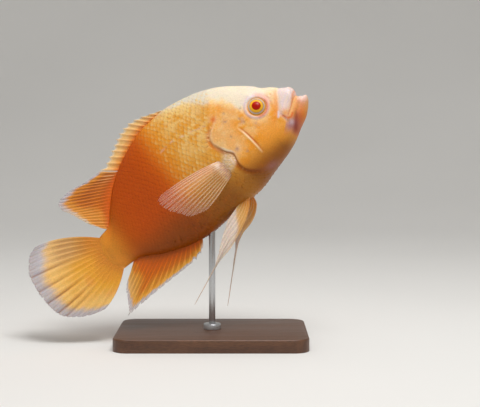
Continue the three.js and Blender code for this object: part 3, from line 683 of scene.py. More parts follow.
def markings(s, h, w):
    """The colour of the skin and scales at a straight place, painted shade and highlights included."""
    large = blotches(s, h, w, 9, 1)
    small = blotches(s, h, w, 3.2, 2)
    fine = blotches(s, h, w, 1.3, 3)
    mixed = 0.45 * large + 0.35 * small + 0.2 * fine
    tint = coat(PIGMENT["gold"], s)
    tint = painted(
        tint,
        ("amber", ramp(s, 100, 128)),
        ("orange", ramp(s, 116, 142)),
        ("deep", ramp(s, 128, 150) * ramp(s, 228, 205)),
        # Rust over the rear flank: partly the fish's own deeper orange, partly painted shade of the
        # rear body.
        ("rust", 0.65 * ramp(s, 134, 165) * ramp(s, 222, 185)),
        ("gold", 0.75 * ramp(s, 200, 230)),
        ("umber", 0.3 * bump(s - 208, 12)),
        ("peach", 0.6 * ramp(mixed, 0.46, 0.64) * ramp(s, 104, 80) * ramp(h, -22, 2)),
        ("straw", 0.7 * ramp(mixed, 0.42, 0.58) * ramp(s, 80, 90) * ramp(s, 132, 100) * ramp(h, 8, 36)),
        ("amber", 0.6 * ramp(mixed, 0.5, 0.36) * ramp(s, 130, 95)),
        # Umber on the lower cheek and throat, and on the lower flank and belly, is painted shade.
        ("umber", 0.85 * ramp(h, -8, -30) * ramp(s, 18, 40) * ramp(s, 100, 70)),
        ("umber", 0.8 * ramp(h, 6, -32) * ramp(s, 70, 105) * ramp(s, 225, 200)),
    )
    side_line, _ = off_line(s, h, side_line_path)
    tint = painted(tint, ("lilac", 0.45 * bump(side_line, 0.7) * ramp(small, 0.35, 0.65)))
    depth = back(s) - h + 10 * (large - 0.5) + 5 * (small - 0.5)
    near_head = ramp(s, 122, 96)
    cream = ramp(-depth, -cream_depth(s) - 4, -cream_depth(s) + 4) * near_head
    below_cream = ramp(-depth, -cream_depth(s) - 14, -cream_depth(s)) * near_head * ramp(s, 40, 52)
    tint = painted(
        tint,
        ("straw", 0.9 * below_cream * ramp(mixed, 0.4, 0.56)),
        ("ivory", 0.5 * ramp(-depth, -cream_depth(s) - 9, -cream_depth(s)) * near_head),
        ("cream", cream),
        ("ivory", 0.7 * ramp(s, 26, 12) * ramp(gape_height(s, h), 2, 8)),
    )
    tint = eye_marks(tint, s, h, w)
    tint = mouth_marks(tint, s, h, w)
    return cover_marks(tint, s, h, w, mixed)


def eye_marks(tint, s, h, w):
    """The marks round the eye and on the cheek below it, with painted shade on the orbit's lower front
    rim.
    """
    from_eye, _ = round_spot(eye_middle, eye_way, s, h, w)
    eye_s, eye_h = s - EYE["s"], h - EYE["h"]
    tint = painted(
        tint,
        ("pearl", 0.7 * bump(from_eye - 12.0, 3.4) * ramp(eye_h - 0.6 * eye_s, -1, 8)),
        ("peach", 0.8 * bump(from_eye - 14, 4) * ramp(eye_h, -3, -9) * ramp(eye_s, -4, 4)),
        ("lilac", 0.7 * bump(from_eye - 10.9, 1.5)),
    )
    front_low = ramp(-eye_s - 0.6 * eye_h, -3, 5) * ramp(-eye_h - 0.3 * eye_s, -1, 4)
    tint = painted(
        tint,
        # Deep orange on the lower front of the orbit's rim is painted shade.
        ("deep", 0.7 * bump(from_eye - 10.1, 1.3) * front_low),
        ("rose", 0.55 * bump(from_eye - 11.5, 2.2) * ramp(eye_s, -2, -7) * ramp(eye_h, -6, -1)),
    )
    streak = [(13, 17), (15.7, 12.2), (18.7, 7.4), (23.5, 1.7), (30.6, -4.4)]
    tint = painted(
        tint,
        ("orange", 0.4 * stroke(s, h, streak, 2.6)),
        ("lilac", 0.95 * stroke(s, h, [(21.6, 0.2), (24.6, -3.4)], 1.1)),
        ("gold", 0.8 * spot(s, h, 25, -8, 3.2)),
    )
    low_cheek = ramp(h, 4, -6) * ramp(h, -27, -10)
    tint = painted(
        tint,
        ("amber", 0.6 * ramp(s, 26, 34) * ramp(s, 58, 48) * low_cheek),
        ("sand", 0.5 * spot(s, h, 59, 28, 9)),
        ("sand", 0.45 * ramp(s, 58, 68) * ramp(s, 90, 84) * ramp(h, -12, -2) * ramp(h, 30, 20)),
    )
    return tint


def mouth_marks(tint, s, h, w):
    """The marks of the lips and the lower jaw, with painted shade on the jaw's side, in its fold, in
    the gape and on the throat.
    """
    above = gape_height(s, h)
    lip = ramp(lip_groove(h) - s, -3.2, 2.0) * ramp(above, -0.6, 0.2)
    tint = painted(tint, ("pearl", 0.95 * lip))
    fibres = blotches(1.2 * above, 0.25 * s, w, 1.1, 5)
    tint = painted(
        tint,
        ("lilac", 0.6 * lip * ramp(fibres, 0.45, 0.75)),
        ("rose", 0.75 * lip * stroke(s, h, [(-1, 9), (0.8, 6.9), (5.5, 1.4), (10.2, -4.3)], 1.0)),
        ("gold", 0.85 * lip * spot(s, h, 17.5, -4.5, 4.2)),
    )
    below = ramp(above, 0.4, -0.6)
    jaw_side = below * ramp(s, 27, 20)
    tint = painted(
        tint,
        ("rose", 0.85 * jaw_side * ramp(above, -15, -9)),
        ("orange", 0.5 * jaw_side * ramp(above, -6, -11) * ramp(s, -2, 6)),
        ("pearl", 0.9 * jaw_side * bump(np.hypot(s + 4, h + 1), 5.4)),
        ("peach", 0.8 * jaw_side * ramp(above, -4.5, -2) * ramp(s, -1, 4)),
        ("gold", 0.45 * jaw_side * bump(above + 5, 2.5) * ramp(s, -1, 4)),
        ("rust", 0.45 * jaw_side * bump(above + 10.5, 3.2) * ramp(s, 3, 10)),
        # Plum on the side of the jaw: partly its own purple-grey, partly painted shade.
        ("plum", 0.9 * bump(np.hypot((s - 20.5) * 0.8, h + 15.5), 5.4) * below),
        ("lilac", 0.6 * spot(s, h, 18, -14.5, 2.6) * below),
        # Wine along the jaw fold: partly its own dark red, partly painted shade in the crease.
        ("wine", 0.7 * stroke(s, h, jaw_fold_line, 2.0) * ramp(s, 6, 12) * ramp(s, 27, 19)),
        # Umber under the jaw is painted shade on the throat.
        ("umber", 0.8 * ramp(above, -15, -19) * ramp(s, 40, 25) * ramp(s, 5, 14)),
    )
    lip_corner = [(21, -5), (20.3, -5.6), (18.8, -9.2), (15.6, -10.5), (12.6, -8.6)]
    tint = painted(
        tint,
        ("deep", 0.75 * stroke(s, h, lip_corner, 1.0)),
        ("peach", 0.7 * bump(above, 1.4) * ramp(s, 18, 13) * ramp(s, 0, 5)),
        # Rust along the gape is painted shade in the crease.
        ("rust", 0.55 * bump(above, 0.5) * ramp(s, 19, 16) * ramp(s, 0, 5)),
    )
    return tint


def cover_marks(tint, s, h, w, mixed):
    """The marks of the cheek groove, the gill cover, the pores and the root of the breast fin; painted
    shade and highlights at the groove and the cover's edge.
    """
    cheek, down = off_line(s, h, cheek_line)
    taper = np.sin(np.pi * np.clip(down, 0, 1)) ** 0.6
    tint = painted(
        tint,
        # Rust in the cheek groove is painted shade, and ivory on the ridge behind it is painted
        # highlight.
        ("rust", 0.85 * bump(cheek + 0.4, 0.75) * taper),
        ("ivory", 0.85 * bump(cheek - 1.2, 0.85) * taper),
    )
    inner, place = inside_cover(s, h)
    on_cover = (s > 56) * 1.0
    at_notch = ramp(place, 0.36, 0.42) * ramp(place, 0.56, 0.5)
    tint = painted(
        tint,
        # Ivory and cream along the raised edge of the gill cover are painted highlight.
        ("ivory", 0.35 * bump(inner - 0.8, 1.3) * on_cover * ramp(place, 0.7, 0.5)),
        ("cream", 0.9 * bump(inner - 0.6, 0.9) * on_cover * at_notch),
    )
    # The band behind the cover's edge carries painted shadow, which the cover casts on the flank.
    behind = on_cover * ramp(place, 0.04, 0.2) * ramp(place, 0.97, 0.8)
    tint = painted(
        tint,
        ("rust", 0.5 * bump(inner + 2.0, 1.8) * behind),
        ("umber", 0.75 * ramp(inner, 0.4, -0.8) * ramp(inner, -7, -1.5) * behind
            * ramp(place, 0.3, 0.5)),
        # Deep orange at the top of the gill cover's edge is a painted shadow.
        ("deep", 0.8 * spot(s, h, 73, 33, 3)),
        ("plum", 0.45 * bump(np.hypot((s - 58) / 2.2, h + 33), 3)),
    )
    for pore_s, pore_h in PORES:
        tint = painted(tint, ("smoke", 0.6 * spot(s, h, pore_s, pore_h, 1.2)))
    smudges = [(53, 15, 3.2), (66, 24.5, 2.4), (72.5, -3, 2.4), (66, -10, 2.2), (44, 4, 3)]
    for smudge_s, smudge_h, size in smudges:
        near = spot(s, h, smudge_s, smudge_h, size)
        tint = painted(tint, ("plum", 0.4 * near * ramp(mixed, 0.4, 0.6)))
    mound = np.hypot(s - FIN_MOUND["s"] + 1.5, (h - FIN_MOUND["h"]) / 1.35) + 3 * (mixed - 0.5)
    on_mound = ramp(mound, 9, 5) * ramp(inner, -0.4, -1.6) * on_cover
    on_mound = on_mound * ramp(h + 0.5 * (s - 86), -17, -11)
    beads = blotches(s, h, w, 0.9, 6)
    tint = painted(
        tint,
        ("sand", 0.8 * on_mound),
        ("pearl", 0.5 * on_mound * ramp(beads, 0.48, 0.66)),
        ("smoke", 0.6 * on_mound * ramp(beads, 0.4, 0.26)),
    )
    return tint


def closed_mesh(name, points, faces):
    """A mesh object from closed faces, turned so that they point out."""
    points = np.asarray(points, float)
    faces = np.asarray(faces)
    a = points[faces[:, 0]]
    volume = 0
    for k in range(1, faces.shape[1] - 1):
        volume += np.einsum("ij,ij->", a, np.cross(points[faces[:, k]], points[faces[:, k + 1]]))
    if volume < 0:
        faces = faces[:, ::-1]
    return mesh_object(name, points, faces.tolist())


def keep_colour(piece, name, tint):
    data = piece.data.color_attributes.new(name, "FLOAT_COLOR", "POINT").data
    data.foreach_set("color", np.concatenate([tint, np.ones((len(tint), 1))], axis=1).ravel())


def keep_value(piece, name, values):
    data = piece.data.attributes.new(name, "FLOAT", "POINT").data
    data.foreach_set("value", np.asarray(values, float))


skin = closed_mesh("skin", posed(*skin_points.T), skin_quads)
keep_colour(skin, "pigment", markings(*skin_points.T))


def kept(tree, name, output="Fac"):
    """What keep_value or keep_colour put on the mesh."""
    return add_node(tree, "ShaderNodeAttribute", attribute_name=name).outputs[output]


def remapped(tree, value, low, high, to_low, to_high):
    """A value between low and high, spread from to_low to to_high."""
    return add_node(tree, "ShaderNodeMapRange", {
        "Value": value, "From Min": low, "From Max": high, "To Min": to_low, "To Max": to_high,
    }).outputs["Result"]


def bumped(tree, height, strength, distance):
    inputs = {"Height": height, "Strength": strength, "Distance": distance}
    return add_node(tree, "ShaderNodeBump", inputs).outputs["Normal"]


# Painted resin under a satin lacquer: the light goes a little way in, so the shade stays warm, and
# the lacquer gives the soft, wet gloss of a fish. Fine mottling and pits keep it from looking plastic.
satin_skin, tree = new_material("satin_lacquered_skin")
coordinates = object_place(tree)
mottle = noise(tree, coordinates, 900.0, 3.0, Roughness=0.6)
mottle_range = remapped(tree, mottle, 0.35, 0.65, 0.92, 1.07)
grain = add_node(tree, "ShaderNodeTexVoronoi", {
    "Vector": coordinates, "Scale": 620.0, "Smoothness": 0.6,
}, feature="SMOOTH_F1")
add_surface(tree, {
    "Base Color": blended(tree, 1.0, kept(tree, "pigment", "Color"), mottle_range, "MULTIPLY"),
    "Roughness": remapped(tree, mottle, 0.3, 0.7, 0.4, 0.52), "IOR": 1.4,
    "Specular IOR Level": 0.3, "Coat Weight": 0.06, "Coat Roughness": 0.2,
    "Subsurface Weight": 0.15, "Subsurface Radius": (1.0, 0.3, 0.05), "Subsurface Scale": 0.003,
    "Normal": bumped(tree, grain.outputs["Distance"], 0.2, 0.0004),
})
skin.data.materials.append(satin_skin)
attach(skin, "root")
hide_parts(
    "head", "lower_jaw", "upper_lip", "lower_lip", "gill_cover_right", "gill_cover_left",
    "torso", "tail_stalk",
)


# The scales: thin round plates that overlap backwards like tiles in slanting rows. Each is a little
# crowned with a paler rear rim, cast on the flank and finer on the cheek and the gill cover.
# The pale rims are partly painted highlight, kept to the upper front flank.
SCALE = {"spacing": 4.5, "pitch": 3.9, "length": 8.4, "half": 3.9, "lift": 0.36, "crown": 0.14}
FACE_SCALE = {"spacing": 3.2, "pitch": 2.7, "length": 5.6, "half": 2.7, "lift": 0.17, "crown": 0.05}
SCALE_SUNK = 0.07
SCALE_THICK = 0.14
SCALE_ROWS_ALONG = (0, 0.3, 0.58, 0.76, 0.9, 1)
SCALE_ROWS_ACROSS = 7
PROBE = 0.6
ROW_MIDDLE = [(36, 8), (100, 16), (150, 12), (190, 5), (BODY_END, 0)]
ROW_SIZE = [(36, 0.75), (75, 0.95), (110, 1), (160, 0.9), (205, 0.68), (BODY_END, 0.55)]
SCALE_FRONT = [(50, 72), (54, 62), (60, 50), (66, 40), *GILL_EDGE, (56, -45)]
SIDES = {"right": -1, "left": 1}

row_middle = curve(ROW_MIDDLE)
row_size = curve(ROW_SIZE)
table_s = np.linspace(36, BODY_END + 10, 208)
table_arc = np.linspace(-75, 85, 321)


def girth_tables():
    """Heights and half-widths of the left flank at s and a distance round it from the middle row."""
    turns = np.linspace(-np.pi / 2, np.pi / 2, 361)
    heights = []
    widths = []
    for s in table_s:
        middle = widest(s)
        rise = np.sin(turns)
        reach = np.where(rise > 0, back(s) - middle, middle - belly(s))
        fullness = np.where(rise > 0, back_fullness(s), BELLY_FULLNESS)
        h = middle + reach * rise
        w = half_width(s) * np.maximum(np.cos(turns), 0) ** fullness
        w = w * end_taper(s, h)
        arc = np.concatenate([[0], np.cumsum(np.hypot(np.diff(h), np.diff(w)))])
        arc = arc - np.interp(row_middle(s), h, arc)
        heights.append(np.interp(table_arc, arc, h))
        widths.append(np.interp(table_arc, arc, w))
    return np.array(heights), np.array(widths)


table_h, table_w = girth_tables()


def on_girth(s, arc):
    """Height and half-width on the left flank at s and a distance round it."""
    x = np.clip((s - table_s[0]) / (table_s[1] - table_s[0]), 0, len(table_s) - 1.001)
    y = np.clip((arc - table_arc[0]) / (table_arc[1] - table_arc[0]), 0, len(table_arc) - 1.001)
    i, j = x.astype(int), y.astype(int)
    x, y = x - i, y - j
    found = []
    for table in (table_h, table_w):
        near = table[i, j] * (1 - y) + table[i, j + 1] * y
        far = table[i + 1, j] * (1 - y) + table[i + 1, j + 1] * y
        found.append(near * (1 - x) + far * x)
    return found


def scale_roots(first, last, size, keep):
    """Places s and arc of scale roots in slanting rows, with their sizes, where keep says so."""
    roots = []
    s = first
    column = 0
    while s < last:
        scale = float(row_size(s))
        for row in range(-40, 41):
            if (row + column) % 2 == 0:
                roots.append((s, row * size["pitch"] * scale, scale))
        s += size["spacing"] / 2 * scale
        column += 1
    roots = np.array(roots)
    s, arc, scale = roots.T
    reach = 0.6 * size["half"] * scale
    h, _ = on_girth(s, arc)
    short_of_crest = on_girth(s, arc + reach)[0] > on_girth(s, arc + reach - 0.5)[0] + 0.02
    short_of_keel = on_girth(s, arc - reach)[0] < on_girth(s, arc - reach + 0.5)[0] - 0.02
    short_of_end = s + size["length"] * scale < body_end(h) + 1.5
    return roots[short_of_crest & short_of_keel & short_of_end & keep(s, h)]


def grid_quads(grid):
    """Quads between the neighbours of a grid of point numbers."""
    return np.stack([grid[:-1, :-1], grid[1:, :-1], grid[1:, 1:], grid[:-1, 1:]], -1).reshape(-1, 4)


def plate_tint(places, edge, middle, side, draw):
    """The markings, with a paler rim, partly painted highlight, and a darker root on some plates."""
    count = len(places)
    s, h, w = places.reshape(-1, 3).T
    tint = markings(s, h, w * side)
    pale = draw.uniform(0, 1, (count, 1)) ** 1.5
    rim_pale = ((0.15 + 0.85 * pale) * ramp(edge, 0.62, 0.86) * middle).ravel()
    # Straw on the rims: partly the scales' own paler edges, partly painted highlight on the upper front
    # flank.
    tint = painted(tint, ("straw", rim_pale * ramp(s, 150, 112) * ramp(h, -25, 15)))
    dark = draw.uniform(0, 1, (count, 1)) ** 2 * 0.2 * ramp(edge, 0.75, 0.35)
    dark = dark * ramp(s.reshape(count, -1), 80, 110)
    return painted(tint, ("deep", dark.ravel()))


def scale_plates(name, roots, size, side, draw):
    """One joined mesh of closed plates, each with its own patch on an unwrap of the flank."""
    count = len(roots)
    along = np.array(SCALE_ROWS_ALONG)
    across = np.linspace(-1, 1, SCALE_ROWS_ACROSS)
    run, span = np.meshgrid(along, across, indexing="ij")
    run, span = run.ravel(), span.ravel()
    scale = roots[:, 2:3] * draw.uniform(0.94, 1.06, (count, 1))
    x = size["length"] * run * (1 - 0.34 * span ** 2 * run) * scale
    y = size["half"] * span * (1 - 0.12 * run ** 2) * scale
    slant = draw.normal(0, 0.05, (count, 1))
    s = roots[:, 0:1] + x - slant * y
    arc = roots[:, 1:2] + y + slant * x
    lift = draw.uniform(0.85, 1.1, (count, 1))
    flatter = 0.5 + 0.5 * ramp(s, 190, 120) * ramp(s, 70, 95)
    flatter = flatter * (0.3 + 0.7 * ramp(s, 232, 212))
    rounded = run * (1 - 0.6 * ramp(run, 0.8, 1.0))
    raise_by = (size["lift"] * rounded * lift - size["crown"] * span ** 2) * flatter - SCALE_SUNK
    h, w = on_girth(s, arc)
    ahead, up, down = (
        np.stack([np.full_like(s, step_s), *[sign * (b - a) for a, b in zip((h, w), near)]], -1)
        for step_s, sign, near in (
            (PROBE, 1, on_girth(s + PROBE, arc)),
            (0, 1, on_girth(s, arc + PROBE)),
            (0, -1, on_girth(s, arc - PROBE)),
        )
    )
    out = np.cross(ahead, up + down)
    out /= np.maximum(np.linalg.norm(out, axis=-1, keepdims=True), 1e-6)
    rise = raise_by - SKIN_INSET + relief(s, h)
    top = np.stack([s, h, w], -1) + out * rise[..., None]
    bottom = top - out * SCALE_THICK
    grid = np.arange(len(run)).reshape(len(along), len(across))
    rim = np.concatenate([grid[0, :-1], grid[:-1, -1], grid[-1, :0:-1], grid[:0:-1, 0]])
    upper = grid_quads(grid)
    lower_rim = grid.size + np.arange(len(rim))
    skirt = np.stack([rim, np.roll(rim, -1), np.roll(lower_rim, -1), lower_rim], -1)
    points = np.concatenate([top, bottom[:, rim]], axis=1)
    per = points.shape[1]
    faces = np.concatenate([upper, skirt])
    all_faces = (faces[None] + per * np.arange(count)[:, None, None]).reshape(-1, 4).tolist()
    floors = (lower_rim[None, ::-1] + per * np.arange(count)[:, None]).tolist()
    flat = points.reshape(-1, 3)
    world_points = posed(flat[:, 0], flat[:, 1], flat[:, 2] * side)
    plates = all_faces + floors
    if side > 0:
        plates = [face[::-1] for face in plates]
    made = mesh_object(name, world_points, plates)
    edge = np.concatenate([run, run[rim]])[None] * np.ones((count, 1))
    middle = 1 - 0.9 * np.concatenate([span, span[rim]])[None] ** 2
    keep_colour(made, "pigment", plate_tint(points, edge, middle, side, draw))
    shape = np.concatenate([np.stack([run, span], -1), np.stack([run[rim], span[rim]], -1)])
    patch = 0.003 * (shape * (1, 0.5) + (0, 0.5))
    patch_corner = np.stack([
        0.02 + 0.95 * (roots[:, 0] - table_s[0]) / (table_s[-1] - table_s[0]),
        0.02 + 0.95 * (roots[:, 1] - table_arc[0]) / (table_arc[-1] - table_arc[0]),
    ], -1)
    places = (patch_corner[:, None] + patch[None]).reshape(-1, 2)
    corners = np.empty(len(made.data.loops), int)
    made.data.loops.foreach_get("vertex_index", corners)
    made.data.uv_layers.new(name="OFBake").data.foreach_set("uv", places[corners].ravel())
    made.data.materials.append(satin_skin)
    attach(made, "root")
    return made


front_line = smooth_line(SCALE_FRONT)


def on_flank(s, h):
    away, _ = off_line(s, h, front_line)
    return away > 0.6


def on_face(s, h):
    inner, _ = inside_cover(s, h)
    off_eye = np.hypot(s - EYE["s"], h - EYE["h"]) > 15
    to_groove, _ = off_line(s + FACE_SCALE["length"] / 2, h, cheek_line)
    off_groove = np.abs(to_groove) > 3.8
    return (inner > 6.5) & (s > 37) & (h < 32) & (h > -22) & off_eye & off_groove & (s < 82)


for word, side in SIDES.items():
    draw = np.random.default_rng(20 + side)
    roots = scale_roots(50, 236, SCALE, on_flank)
    plates = scale_plates(f"flank_scales_{word}", roots, SCALE, side, draw)
    roots = scale_roots(37.5, 80, FACE_SCALE, on_face)
    plates = scale_plates(f"cheek_scales_{word}", roots, FACE_SCALE, side, draw)


# The eyes: glass balls in the sockets, flattened as a fish's are, with the rings painted behind the
# glass: a deep red pupil, a gold iris, a grey ring and a thin yellow outer ring.
EYE_RINGS = 56
EYE_SIDES = 96
IRIS_DENT = 0.35
LENS_BULGE = 0.5
EYE_COLOURS = [
    (0.0, "#A81000"), (0.40, "#B81400"), (0.455, "#A02000"), (0.475, "#E08A10"), (0.51, "#F6B428"),
    (0.68, "#F0AE30"), (0.735, "#B58A38"), (0.765, "#B9A79C"), (0.85, "#C8B6B4"), (0.885, "#E8B650"),
    (0.955, "#E0A848"), (0.985, "#BE8C5A"), (1.0, "#BE8C5A"),
]


def eye_piece(word, side):
    """A ball of rings round the eye's axis, each with how far out on the iris it lies."""
    run = np.sin(np.linspace(0, np.pi / 2, EYE_RINGS + 1))[1:]
    turns = np.linspace(0, 2 * np.pi, EYE_SIDES, endpoint=False)
    iris = ramp(run, 0.80, 0.74)
    lens = ramp(run, 0.52, 0.42)
    front = EYE["depth"] * np.sqrt(1 - run ** 2) - IRIS_DENT * iris
    front = front + LENS_BULGE * lens * (1 - (run / 0.5) ** 2)
    rings = [(r * EYE["radius"], z, r) for r, z in zip(run, front)]
    rings += [(r * EYE["radius"], -EYE["depth"] * math.sqrt(1 - r ** 2), 1.0) for r in run[-2::-4]]
    radius, height, ring = np.array(rings).T
    first = np.cross(eye_way, (0, 0, 1.0))
    first /= np.linalg.norm(first)
    second = np.cross(eye_way, first)
    flat = radius[:, None, None] * (np.cos(turns)[:, None] * first + np.sin(turns)[:, None] * second)
    points = eye_middle + flat + height[:, None, None] * eye_way
    tip = eye_middle + eye_way * (EYE["depth"] - IRIS_DENT + LENS_BULGE)
    heel = eye_middle - eye_way * EYE["depth"]
    points = np.concatenate([points.reshape(-1, 3), [tip, heel]])
    faces = []
    for k in range(len(rings) - 1):
        for i in range(EYE_SIDES):
            a, b = k * EYE_SIDES + i, k * EYE_SIDES + (i + 1) % EYE_SIDES
            faces.append((a, b, b + EYE_SIDES, a + EYE_SIDES))
    last = (len(rings) - 1) * EYE_SIDES
    for i in range(EYE_SIDES):
        following = (i + 1) % EYE_SIDES
        faces.append((len(points) - 2, following, i))
        faces.append((len(points) - 1, last + i, last + following))
    s, h, w = points.T
    if side < 0:
        faces = [face[::-1] for face in faces]
    made = mesh_object(f"eye_globe_{word}", posed(s, h, w * side), faces)
    keep_value(made, "ring", np.concatenate([np.repeat(ring, EYE_SIDES), [0, 1]]))
    keep_value(made, "level", (points[:, 1] - EYE["h"]) / EYE["radius"])
    return made


# Painted glass: clear and mirror-smooth in front, so it takes a small sharp highlight. Fine
# flecks break up the gold, and the lower half is a little darker, as a shaded iris is.
glass_eye, tree = new_material("painted_glass_eye")
flecks = noise(tree, object_place(tree), 1400.0, 2.0)
wander = add_node(tree, "ShaderNodeMath", {0: flecks, 1: 0.5}, operation="SUBTRACT")
ring_place = add_node(tree, "ShaderNodeMath", {
    0: wander.outputs["Value"], 1: 0.05, 2: kept(tree, "ring"),
}, operation="MULTIPLY_ADD")
rings = add_node(tree, "ShaderNodeValToRGB", {"Fac": ring_place.outputs["Value"]})
ramp_stops = rings.color_ramp.elements
for place, _ in EYE_COLOURS[1:-1]:
    ramp_stops.new(place)
for stop, (place, code) in zip(ramp_stops, EYE_COLOURS):
    stop.position = place
    stop.color = colour(code)
shade = remapped(tree, kept(tree, "level"), -0.8, 0.6, 0.74, 1.02)
add_surface(tree, {
    "Base Color": blended(tree, 1.0, rings.outputs["Color"], shade, "MULTIPLY"), "Roughness": 0.35,
    "Specular IOR Level": 0.12, "Coat Weight": 0.2, "Coat Roughness": 0.03, "Coat IOR": 1.4,
})
for word, side in SIDES.items():
    globe = eye_piece(word, side)
    globe.data.materials.append(glass_eye)
    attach(globe, "root")
    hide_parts(f"eye_{word}")


# The fins: thin cast sheets, each stiffened by bony rays that fork towards the margin. They are
# rooted in the body, pleated a little between the rays, and their free margins are thin and frayed.
MEMBRANE = 0.42
RAY_ROOT = 1.25
RAY_TIP = 0.6


# Thin cast resin under satin lacquer: light comes through the membrane, the rays stay solid, and a
# fine speckle keeps both from looking like plastic.
lacquered_fin, tree = new_material("satin_lacquered_fin")
speckle = noise(tree, object_place(tree), 1100.0, 3.0)
speckle_range = remapped(tree, speckle, 0.3, 0.7, 0.85, 1.1)
add_surface(tree, {
    "Base Color": blended(tree, 1.0, kept(tree, "pigment", "Color"), speckle_range, "MULTIPLY"),
    "Roughness": 0.42, "IOR": 1.45, "Alpha": kept(tree, "cover"),
    "Subsurface Weight": 0.15, "Subsurface Radius": (1.0, 0.5, 0.2), "Subsurface Scale": 0.002,
    "Specular IOR Level": 0.35, "Coat Weight": 0.08, "Coat Roughness": 0.25,
    "Normal": bumped(tree, speckle, 0.25, 0.0003),
})


def ray_point(root, tip, bow, v):
    """A place on a ray that bows between its root and its tip."""
    middle_s = (root[0] + tip[0]) / 2
    middle_h = (root[1] + tip[1]) / 2 + bow
    s = (1 - v) ** 2 * root[0] + 2 * v * (1 - v) * middle_s + v * v * tip[0]
    h = (1 - v) ** 2 * root[1] + 2 * v * (1 - v) * middle_h + v * v * tip[1]
    return s, h


def path(rows):
    """A soft curve of s and h over a running value."""
    along_s = curve([(row[0], row[1]) for row in rows])
    along_h = curve([(row[0], row[2]) for row in rows])
    return lambda u: (along_s(u), along_h(u))


def ray_ridges(place, v, fork):
    """How much a ray is raised at a place between rays: one ridge that forks twice into four."""
    nearest = np.round(place)
    off = place - nearest
    wide = 0.25 * ramp(v, fork, 1.15) * 1.05
    close = 0.125 * ramp(v, fork + 0.32, 1.2)
    width = 0.15 - 0.06 * ramp(v, fork - 0.1, 1.0)
    return np.max([bump(off - a * wide - b * close, width) for a in (-1, 1) for b in (-1, 1)], axis=0)


def on_ray(rays, width):
    """A rise to 1 on each ray."""
    return bump(rays - np.round(rays), width)


def sheet_normals(sheet):
    out = np.cross(np.gradient(sheet, axis=0), np.gradient(sheet, axis=1))
    return out / np.maximum(np.linalg.norm(out, axis=-1, keepdims=True), 1e-9)


def fin_piece(name, u, rows, sheet, place, margin, thickness, pleat, tint, cover):
    """A closed sheet from columns along the root and rows out to the margin, with its colours."""
    v = np.linspace(0, 1, rows + 1) ** 0.95
    u, v = np.meshgrid(u, v, indexing="ij")
    rays = place(u)
    reach = v * margin(u, rays)
    middle = np.stack(np.broadcast_arrays(*sheet(u, reach)), axis=-1)
    middle = middle + sheet_normals(middle) * pleat(u, v, rays)[..., None]
    out = sheet_normals(middle)
    half = thickness(u, v, rays)[..., None] / 2
    points = np.stack([middle + out * half, middle - out * half])
    along, up = u.shape
    index = np.arange(2 * along * up).reshape(2, along, up)
    quads = [grid_quads(index[0]), grid_quads(index[1])[:, ::-1]]
    rim = np.concatenate([
        np.stack([np.zeros(along - 1, int), np.arange(along - 1)], -1)[:, ::-1],
        np.stack([np.full(up - 1, along - 1), np.arange(up - 1)], -1),
        np.stack([np.arange(along - 1, 0, -1), np.full(along - 1, up - 1)], -1),
        np.stack([np.zeros(up - 1, int), np.arange(up - 1, 0, -1)], -1),
    ])
    top = index[0][tuple(rim.T)]
    low = index[1][tuple(rim.T)]
    quads.append(np.stack([np.roll(top, -1), top, low, np.roll(low, -1)], -1))
    s, h, w = points.reshape(-1, 3).T
    made = closed_mesh(name, posed(s, h, w), np.concatenate(quads))
    keep_colour(made, "pigment", np.tile(tint(u, v, rays).reshape(-1, 3), (2, 1)))
    keep_value(made, "cover", np.tile(np.clip(cover(u, v, rays), 0, 1).ravel(), 2))
    made.data.materials.append(lacquered_fin)
    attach(made, "root")
    return made


def ray_thickness(fork, fleshy=0.0, root_part=0.1, ray_root=RAY_ROOT, ray_tip=RAY_TIP):
    """Membrane, the ridge of each ray, and a lumpy fleshy swelling at the root where there is one."""
    def at(u, v, rays):
        ridge = ray_ridges(rays, v, fork)
        ray = ray_root + (ray_tip - ray_root) * v
        raised = ridge * (ray - MEMBRANE) * ramp(v, -0.02, 0.22)
        lumps = 0.75 + 0.5 * blotches(u * 14, v * 60, 0, 1.4, 42)
        return MEMBRANE * (1 - 0.4 * v) + raised + fleshy * lumps * bump(v, root_part)
    return at


def frayed(fork, tips, tears, seed):
    """A margin that stands out at each ray tip and is nicked between some of them."""
    draw = np.random.default_rng(seed)
    depth = draw.uniform(0.1, 1, 64) ** 2
    length = draw.uniform(0.2, 1, 64)
    def at(u, rays):
        ridge = ray_ridges(rays, 1.0, fork)
        gap = np.floor(rays).astype(int) % 64
        middle_of_gap = bump(rays - np.floor(rays) - 0.5, 0.14)
        nearest = np.round(rays).astype(int) % 64
        return 1 + tips * ridge * length[nearest] - tears * depth[gap] * middle_of_gap
    return at


def pleats(depth, seed):
    """The membrane bows out between rays, more in some gaps than in others."""
    draw = np.random.default_rng(seed)
    share = draw.uniform(0.35, 1.25, 64)
    def at(u, v, rays):
        gap = np.floor(rays).astype(int) % 64
        return depth * share[gap] * np.sin(np.pi * (rays - np.floor(rays))) ** 2 * ramp(v, 0.05, 0.6)
    return at


DORSAL = {
    "start": 103.5, "spiny": 173.2, "soft": 173.8, "end": 215, "root": 3.2, "spines": 13, "rays": 19,
    "fork": 0.4,
}
dorsal_tip = path([
    (103.5, 107.5, 76.2), (110, 118, 80.8), (118, 129, 85.4), (128, 141, 87.6), (140, 154, 84.8),
    (152, 165, 79.1), (164, 176.4, 72.6), (173, 187, 68.6), (178, 204, 69), (184, 222.3, 71.2),
    (190, 236.4, 69), (195, 238.9, 62), (200, 234.9, 53.6), (207, 230.5, 43.1), (211, 226.6, 34.6),
    (DORSAL["end"], 221.5, 26.6),
])


def dorsal_sheet(u, v):
    s, h = ray_point((u, back(u) - DORSAL["root"]), dorsal_tip(u), 0, v)
    return s, h, 1.6 * np.sin((u - 120) / 17) * v * v


